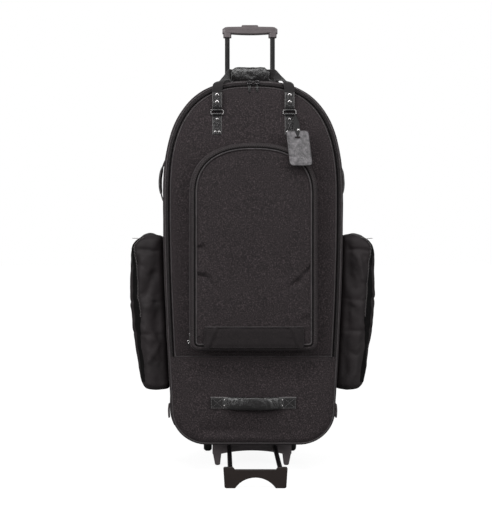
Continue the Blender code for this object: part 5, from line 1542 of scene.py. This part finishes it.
def makeShoulder(side, word):
    half, thick = shoulder["pad"] / 2, shoulder["padThickness"]

    def padShape(reach):
        end = max(0.0, 1 - min(reach, shoulder["padLength"] - reach) / 0.030)
        k = 1 - 0.25 * end ** 2
        rows = []
        for i in range(22):
            a = 2 * math.pi * i / 22
            c, s = math.cos(a), math.sin(a)
            rows.append((half * k * swell(c, 0.6), 0.0006 + thick / 2 * (1 + swell(s, 0.7))))
        return rows

    pad = wrapped("shoulder_pad_" + word, shoulder["padPath"], side, padShape, 9)
    puff(pad, 0.0035, 0.0030)
    for v in pad.data.vertices:
        v.co.y = max(v.co.y, backY + 0.0003)
    pushOut(pad, lambda p, n: wobble(p, 36, 81) * 0.0012)
    finish(pad, "bag", cloth, ["shoulder_strap_" + word], 60, 1)
    for edge, sign in (("inner", -1), ("outer", 1)):
        turns = [2 * math.pi * i / 8 for i in range(8)]
        ring = [(sign * (half - 0.0006) + 0.0016 * math.cos(a), 0.0056 + 0.0016 * math.sin(a)) for a in turns]
        cord = wrapped(f"shoulder_piping_{word}_{edge}", shoulder["padPath"], side, lambda reach: ring, 9)
        finish(cord, "bag", piping)

    low, wide = shoulder["lift"] + 0.0012, shoulder["tail"] / 2
    top = shoulder["lift"] + shoulder["tailThickness"] + 0.0012
    section = [(-wide, (low + top) / 2), (-wide + 0.001, low), (0, low), (wide - 0.001, low), (wide, (low + top) / 2),
               (wide - 0.001, top), (0, top), (-wide + 0.001, top)]
    tail = wrapped("shoulder_tail_" + word, shoulder["tailPath"], side, lambda reach: section, 7)
    finish(tail, "bag", webbing, (), 50)

    # ladder buckle: a moulded frame with two bars that the tail threads through
    place = roundBack(*shoulder["buckle"], shoulder["lift"] + 0.0060)
    deselectAll()
    bpy.ops.mesh.primitive_grid_add(x_subdivisions=3, y_subdivisions=5, size=1)
    frameObj = bpy.context.active_object
    frameObj.name = "adjuster_" + word
    widths, heights = shoulder["bars"]
    for v in frameObj.data.vertices:
        v.co = Vector((widths[round((v.co.x + 0.5) * 3)], heights[round((v.co.y + 0.5) * 5)], 0))
    bpy.ops.object.mode_set(mode="EDIT")
    bpy.ops.mesh.select_all(action="DESELECT")
    mesh = bmesh.from_edit_mesh(frameObj.data)
    for face in mesh.faces:
        c = face.calc_center_median()
        if abs(c.x) < 0.012 and (-0.016 < c.y < -0.006 or 0 < c.y < 0.012):
            face.select_set(True)
    bmesh.update_edit_mesh(frameObj.data)
    bpy.ops.mesh.delete(type="FACE")
    bpy.ops.object.mode_set(mode="OBJECT")
    applyModifier(frameObj, "SOLIDIFY", thickness=0.0050, offset=0)
    applyModifier(frameObj, "BEVEL", width=0.0011, segments=2)
    turn = Matrix(((0, 0, side), (-side, 0, 0), (0, -1, 0)))
    for v in frameObj.data.vertices:
        dip = 0.0016 * (1 - (v.co.y / 0.021) ** 2)
        v.co = Vector((side * place.x, place.y, place.z)) + turn @ Vector((v.co.x, v.co.y, v.co.z + dip))
    finish(frameObj, "bag", moulded, (), 40)


for side, word in sides:
    makeShoulder(side, word)
print("shoulder straps")


# Inside: hold strap and foam cradle; on the back: the cloth channel over the tubes

hold = dict(z=0.720, width=0.038, thickness=0.0025)


def makeInside():
    z, wide = hold["z"], hold["width"]
    reach = sideX(z - wide / 2) - shell["wall"] - hold["thickness"]
    right = [(0, frontY + 0.040), (0.120, frontY + 0.044), (0.205, frontY + 0.066), (reach - 0.008, frontY + 0.110),
             (reach, frontY + 0.150), (reach, frontY + 0.185)]
    points = [(-x, y, z) for x, y in reversed(right[1:])] + [(x, y, z) for x, y in right]
    obj = strap("hold_band", curveThrough(points, 8), lambda p, t: (0, 0, 1), wide, hold["thickness"])
    finish(obj, "bag", webbing, ["hold_strap"], 50)


def softCopy(name, node, voxel, smooth, amount, seed, material, body):
    mesh = frame["nodes"][node].data.copy()
    obj = bpy.data.objects.new(name, mesh)
    bpy.context.scene.collection.objects.link(obj)
    obj.data.materials.clear()
    makeActive(obj)
    bpy.ops.object.mode_set(mode="EDIT")
    bpy.ops.mesh.select_all(action="SELECT")
    bpy.ops.mesh.remove_doubles(threshold=0.00001)
    bpy.ops.object.mode_set(mode="OBJECT")
    applyModifier(obj, "REMESH", mode="VOXEL", voxel_size=voxel)
    applyModifier(obj, "SMOOTH", factor=0.5, iterations=smooth)
    pushOut(obj, lambda p, n: wobble(p, 30, seed) * amount)
    finish(obj, body, material, [node], 60)
    return obj


coverRound = 0.012     # of the channel's two long edges


def makeTubeCover():
    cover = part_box("tube_cover")
    half, deep = cover[1].x, cover[1].y - backY

    def channel(h, d, z, fill):
        r = coverRound
        points = [(-h, backY + 0.0003)]
        for i in range(8):
            a = math.pi / 2 * i / 7
            points.append((-h + r - r * math.cos(a), backY + d - r + r * math.sin(a)))
        for i in range(1, 12):
            f = i / 12
            x = -h + r + (2 * h - 2 * r) * f
            points.append((x, backY + d + fill * math.sin(math.pi * f) * (0.6 + wobble((x, 0, z), 12, 91))))
        for i in range(8):
            a = math.pi / 2 * i / 7
            points.append((h - r + r * math.sin(a), backY + d - r + r * math.cos(a)))
        return [Vector((x, y, z)) for x, y in [*points, (h, backY + 0.0003)]]

    rings = []
    count = 70
    for i in range(count + 1):
        z = cover[0].z + (cover[1].z - cover[0].z) * i / count
        fade = min(1.0, min(i, count - i) / 6)
        rings.append([*channel(half, deep, z, 0.0016 * fade), *reversed(channel(half - 0.003, deep - 0.003, z, 0))])
    obj = loft("tube_cover_cloth", rings)
    pushOut(obj, lambda p, n: wobble(p, 22, 92) * 0.0008 if n.y > 0.2 else 0)
    finish(obj, "bag", cloth, ["tube_cover"], 50)
    for side, word in sides:
        x, y = side * (half - 0.0022), backY + deep - 0.0018
        path = straight((x, y, cover[0].z + 0.002), (x, y, cover[1].z - 0.002), 60)
        finish(tubeAlong("tube_cover_piping_" + word, path, 0.0018), "bag", piping)


makeInside()
softCopy("cradle_foam", "bottom_cradle", 0.006, 4, 0.0015, 85, lining, "bag")
makeTubeCover()
print("inside and back")


# Zip sliders and pulls

def sliderModel(length, width, height):
    # body with a waist, and a bridge over it for the pull
    deselectAll()
    bpy.ops.mesh.primitive_cube_add(size=1)
    obj = bpy.context.active_object
    obj.scale = (length, width, height * 0.55)
    bpy.ops.object.transform_apply(location=True, rotation=True, scale=True)
    bpy.ops.object.mode_set(mode="EDIT")
    bpy.ops.mesh.select_all(action="SELECT")
    bpy.ops.mesh.subdivide(number_cuts=3)
    bpy.ops.object.mode_set(mode="OBJECT")
    for v in obj.data.vertices:
        v.co.y *= 1 - 0.22 * (1 - abs(v.co.x) / (length / 2)) ** 2 if v.co.x < 0 else 1 - 0.10 * v.co.x / (length / 2)
        v.co.z += height * 0.10 * (1 - (v.co.x / (length / 2)) ** 2)
    applyModifier(obj, "BEVEL", width=height * 0.12, segments=2, limit_method="ANGLE")
    arch = [Vector((length * 0.30 * math.cos(a), 0, height * 0.22 + height * 0.42 * math.sin(a)))
            for a in [math.pi * i / 10 for i in range(11)]]
    bridge = tubeAlong("bridge", arch, height * 0.16, 8)
    dropMarks(bridge)
    deselectAll()
    bridge.select_set(True)
    obj.select_set(True)
    bpy.context.view_layer.objects.active = obj
    bpy.ops.object.join()
    return obj


def placed(obj, centre, along, across):
    along, across = Vector(along).normalized(), Vector(across).normalized()
    up = along.cross(across)
    matrix = Matrix.Translation(centre) @ Matrix((along, across, up)).transposed().to_4x4()
    obj.data.transform(matrix)
    return obj


def pullModel(name, length, width, thickness):
    # drop-shaped plate with a hole, and a rolled rim
    outline, hole = [], []
    for i in range(40):
        a = 2 * math.pi * i / 40
        wide = width / 2 * (0.72 + 0.28 * math.sin(a) ** 2 if math.cos(a) > 0 else 1)
        outline.append((length / 2 * math.cos(a), wide * swell(math.sin(a), 0.7)))
        hole.append((length * 0.30 + length * 0.11 * math.cos(a), width * 0.20 * math.sin(a)))
    rings = []
    for z, k in ((-0.5, 0.92), (-0.2, 1.0), (0.2, 1.0), (0.5, 0.92)):
        rings.append([Vector((u * k, v * k, z * thickness)) for u, v in outline])
    rings += [[Vector((u, v, z * thickness)) for u, v in hole] for z in (0.5, -0.5)]
    return loft(name, rings, "loop")


def makeZipParts():
    middle = math.radians((bag["zipStart"] + bag["zipEnd"]) / 2)
    out = Vector((0, -math.sin(middle), math.cos(middle)))
    down = Vector((0, -math.cos(middle), -math.sin(middle)))
    centre = Vector((0, frontY + bag["edgeRound"], bag["top"] - bag["edgeRound"]))
    for side, word in sides:
        x = side * mainZip["sliderX"]
        spot = centre + out * (bag["edgeRound"] + 0.0019) + Vector((x, 0, 0))
        slider = placed(sliderModel(0.012, 0.009, 0.0034), spot, (side, 0, 0), down * side)
        slider.name = "zip_slider_" + word
        turns = [2 * math.pi * i / 24 for i in range(24)]
        loop = [Vector((x + 0.0066 * math.cos(a), frontY + 0.0012 + 0.0035 * math.sin(a),
                        mainZip["loopZ"] + 0.0052 * math.sin(a))) for a in turns]
        finish(tubeAlong("zip_loop_" + word, loop, 0.0019, 8, True), "lid", blackMetal)
        finish(slider, "lid", blackMetal, ["main_slider_" + word], 40)
        low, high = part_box("main_pull_" + word)
        pull = pullModel("zip_pull_" + word, high.z - low.z, high.x - low.x, high.y - low.y)
        placed(pull, (low + high) / 2, (0, 0, 1), (1, 0, 0))
        finish(pull, "main_pull_a" if side < 0 else "main_pull_b", hide, ["main_pull_" + word], 45, 1)
        low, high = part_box("side_pull_" + word)
        pull = pullModel("side_zip_pull_" + word, high.x - low.x, high.y - low.y, high.z - low.z)
        placed(pull, (low + high) / 2, (-side, 0, 0), (0, -side, 0))
        finish(pull, "side_pull_a" if side < 0 else "side_pull_b", nickel, ["side_pull_" + word], 45, 1)


makeZipParts()


def makePocketSlider():
    low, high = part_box("pocket_slider")
    middle = (low + high) / 2
    slider = placed(sliderModel(high.z - low.z, 0.0085, 0.0050), middle, (0, 0, 1), (0, -1, 0))
    slider.name = "pocket_zip_slider"
    finish(slider, "pocket_zip", nickel, ["pocket_slider"], 40)
    for name, drop, size, material, slot in (("pocket_pull_ring", 0.010, 0.0042, nickel, "steel"),
                                             ("pocket_pull_loop", 0.021, 0.0056, softHide, "hide")):
        turns = [2 * math.pi * i / 24 for i in range(24)]
        path = [Vector((-pocket["half"] - 0.0032 - size * 0.62 * (1 - math.cos(a)), low.y + 0.004,
                        middle.z - drop + size * 1.2 * math.sin(a))) for a in turns]
        finish(tubeAlong(name, path, 0.0011, 8, True), "pocket_zip", material)


makePocketSlider()
print("zip parts")


# Carried-over nodes get the finishes of the real ones

finishes = {"moulded": moulded, "stand_plastic": standPlastic, "tyre": rubber, "steel": tubeSteel,
            "dark_tube": darkTube, "board": boardSheet, "zip": zipTape, "webbing": webbing, "hide": hide,
            "tag_hide": tagHide, "foam": lining,
            "cloth": cloth, "nylon": nylon}
for node, obj in frame["nodes"].items():
    if obj.hide_render:
        continue
    obj.data.materials.clear()
    obj.data.materials.append(finishes[slotOf[node]])


# Camera, light and floor

suns = (("sun_left", 0.48, (70, 0, -42)), ("sun_right", 0.38, (70, 0, 42)), ("sun_back", 0.26, (48, 0, 155)))
softboxes = (("softbox_left", (-2.7, -2.0, 1.5), 30, (0.9, 2.4)), ("softbox_right", (2.7, -2.2, 1.4), 24, (0.8, 2.2)),
             ("softbox_top", (-0.2, -1.75, 2.7), 29, (2.0, 0.7)))


def addLamp(name, kind, energy):
    light = bpy.data.lights.new(name, kind)
    light.energy = energy
    lamp = bpy.data.objects.new(name, light)
    bpy.context.scene.collection.objects.link(lamp)
    return lamp


def makeStage():
    camera = bpy.data.cameras.new("camera")
    camera.sensor_fit = "VERTICAL"
    camera.sensor_height = 36
    camera.lens = 81.5
    camera.shift_x = 0.0505
    camera.shift_y = -0.001
    camera.clip_end = 200
    view = bpy.data.objects.new("camera", camera)
    view.location = (-0.10, frontY - 3.5, 0.652)
    view.rotation_euler = (math.pi / 2, 0, 0)
    bpy.context.scene.collection.objects.link(view)
    bpy.context.scene.camera = view

    for name, energy, turn in suns:
        lamp = addLamp(name, "SUN", energy)
        lamp.data.angle = math.radians(12)
        lamp.rotation_euler = [math.radians(angle) for angle in turn]
    for name, place, energy, size in softboxes:
        lamp = addLamp(name, "AREA", energy)
        lamp.data.shape = "RECTANGLE"
        lamp.data.size, lamp.data.size_y = size
        lamp.location = place
        lamp.rotation_euler = (Vector((0, 0, 0.8)) - Vector(place)).to_track_quat("-Z", "Y").to_euler()

    world = bpy.data.worlds.new("studio")
    world.use_nodes = True
    bpy.context.scene.world = world
    nodes, links = world.node_tree.nodes, world.node_tree.links
    dim = nodes["Background"]
    dim.inputs["Color"].default_value = (1, 1, 1, 1)
    dim.inputs["Strength"].default_value = 0.30
    white = nodes.new("ShaderNodeBackground")
    white.inputs["Color"].default_value = (1, 1, 1, 1)
    white.inputs["Strength"].default_value = 1.0
    path = nodes.new("ShaderNodeLightPath")
    seen = nodes.new("ShaderNodeMath")
    seen.operation = "MAXIMUM"
    links.new(path.outputs["Is Camera Ray"], seen.inputs[0])
    links.new(path.outputs["Is Transmission Ray"], seen.inputs[1])
    mix = nodes.new("ShaderNodeMixShader")
    links.new(seen.outputs[0], mix.inputs["Fac"])
    links.new(dim.outputs[0], mix.inputs[1])
    links.new(white.outputs[0], mix.inputs[2])
    links.new(mix.outputs[0], nodes["World Output"].inputs["Surface"])

    deselectAll()
    bpy.ops.mesh.primitive_plane_add(size=160, location=(0, 0, 0))
    floor = bpy.context.active_object
    floor.name = "floor"
    mat = bpy.data.materials.new("pale_floor")
    mat.use_nodes = True
    nodes, links = mat.node_tree.nodes, mat.node_tree.links
    shader = nodes["Principled BSDF"]
    shader.inputs["Base Color"].default_value = (0.25, 0.25, 0.25, 1)
    shader.inputs["Roughness"].default_value = 0.9
    shader.inputs["Specular IOR Level"].default_value = 0.1
    shader.inputs["Emission Color"].default_value = (1, 1, 1, 1)
    path = nodes.new("ShaderNodeLightPath")
    scale = nodes.new("ShaderNodeMath")
    scale.operation = "MULTIPLY"
    scale.inputs[1].default_value = 0.91
    links.new(path.outputs["Is Camera Ray"], scale.inputs[0])
    links.new(scale.outputs[0], shader.inputs["Emission Strength"])
    floor.data.materials.append(mat)
    bpy.context.scene.view_settings.view_transform = "Standard"


makeStage()
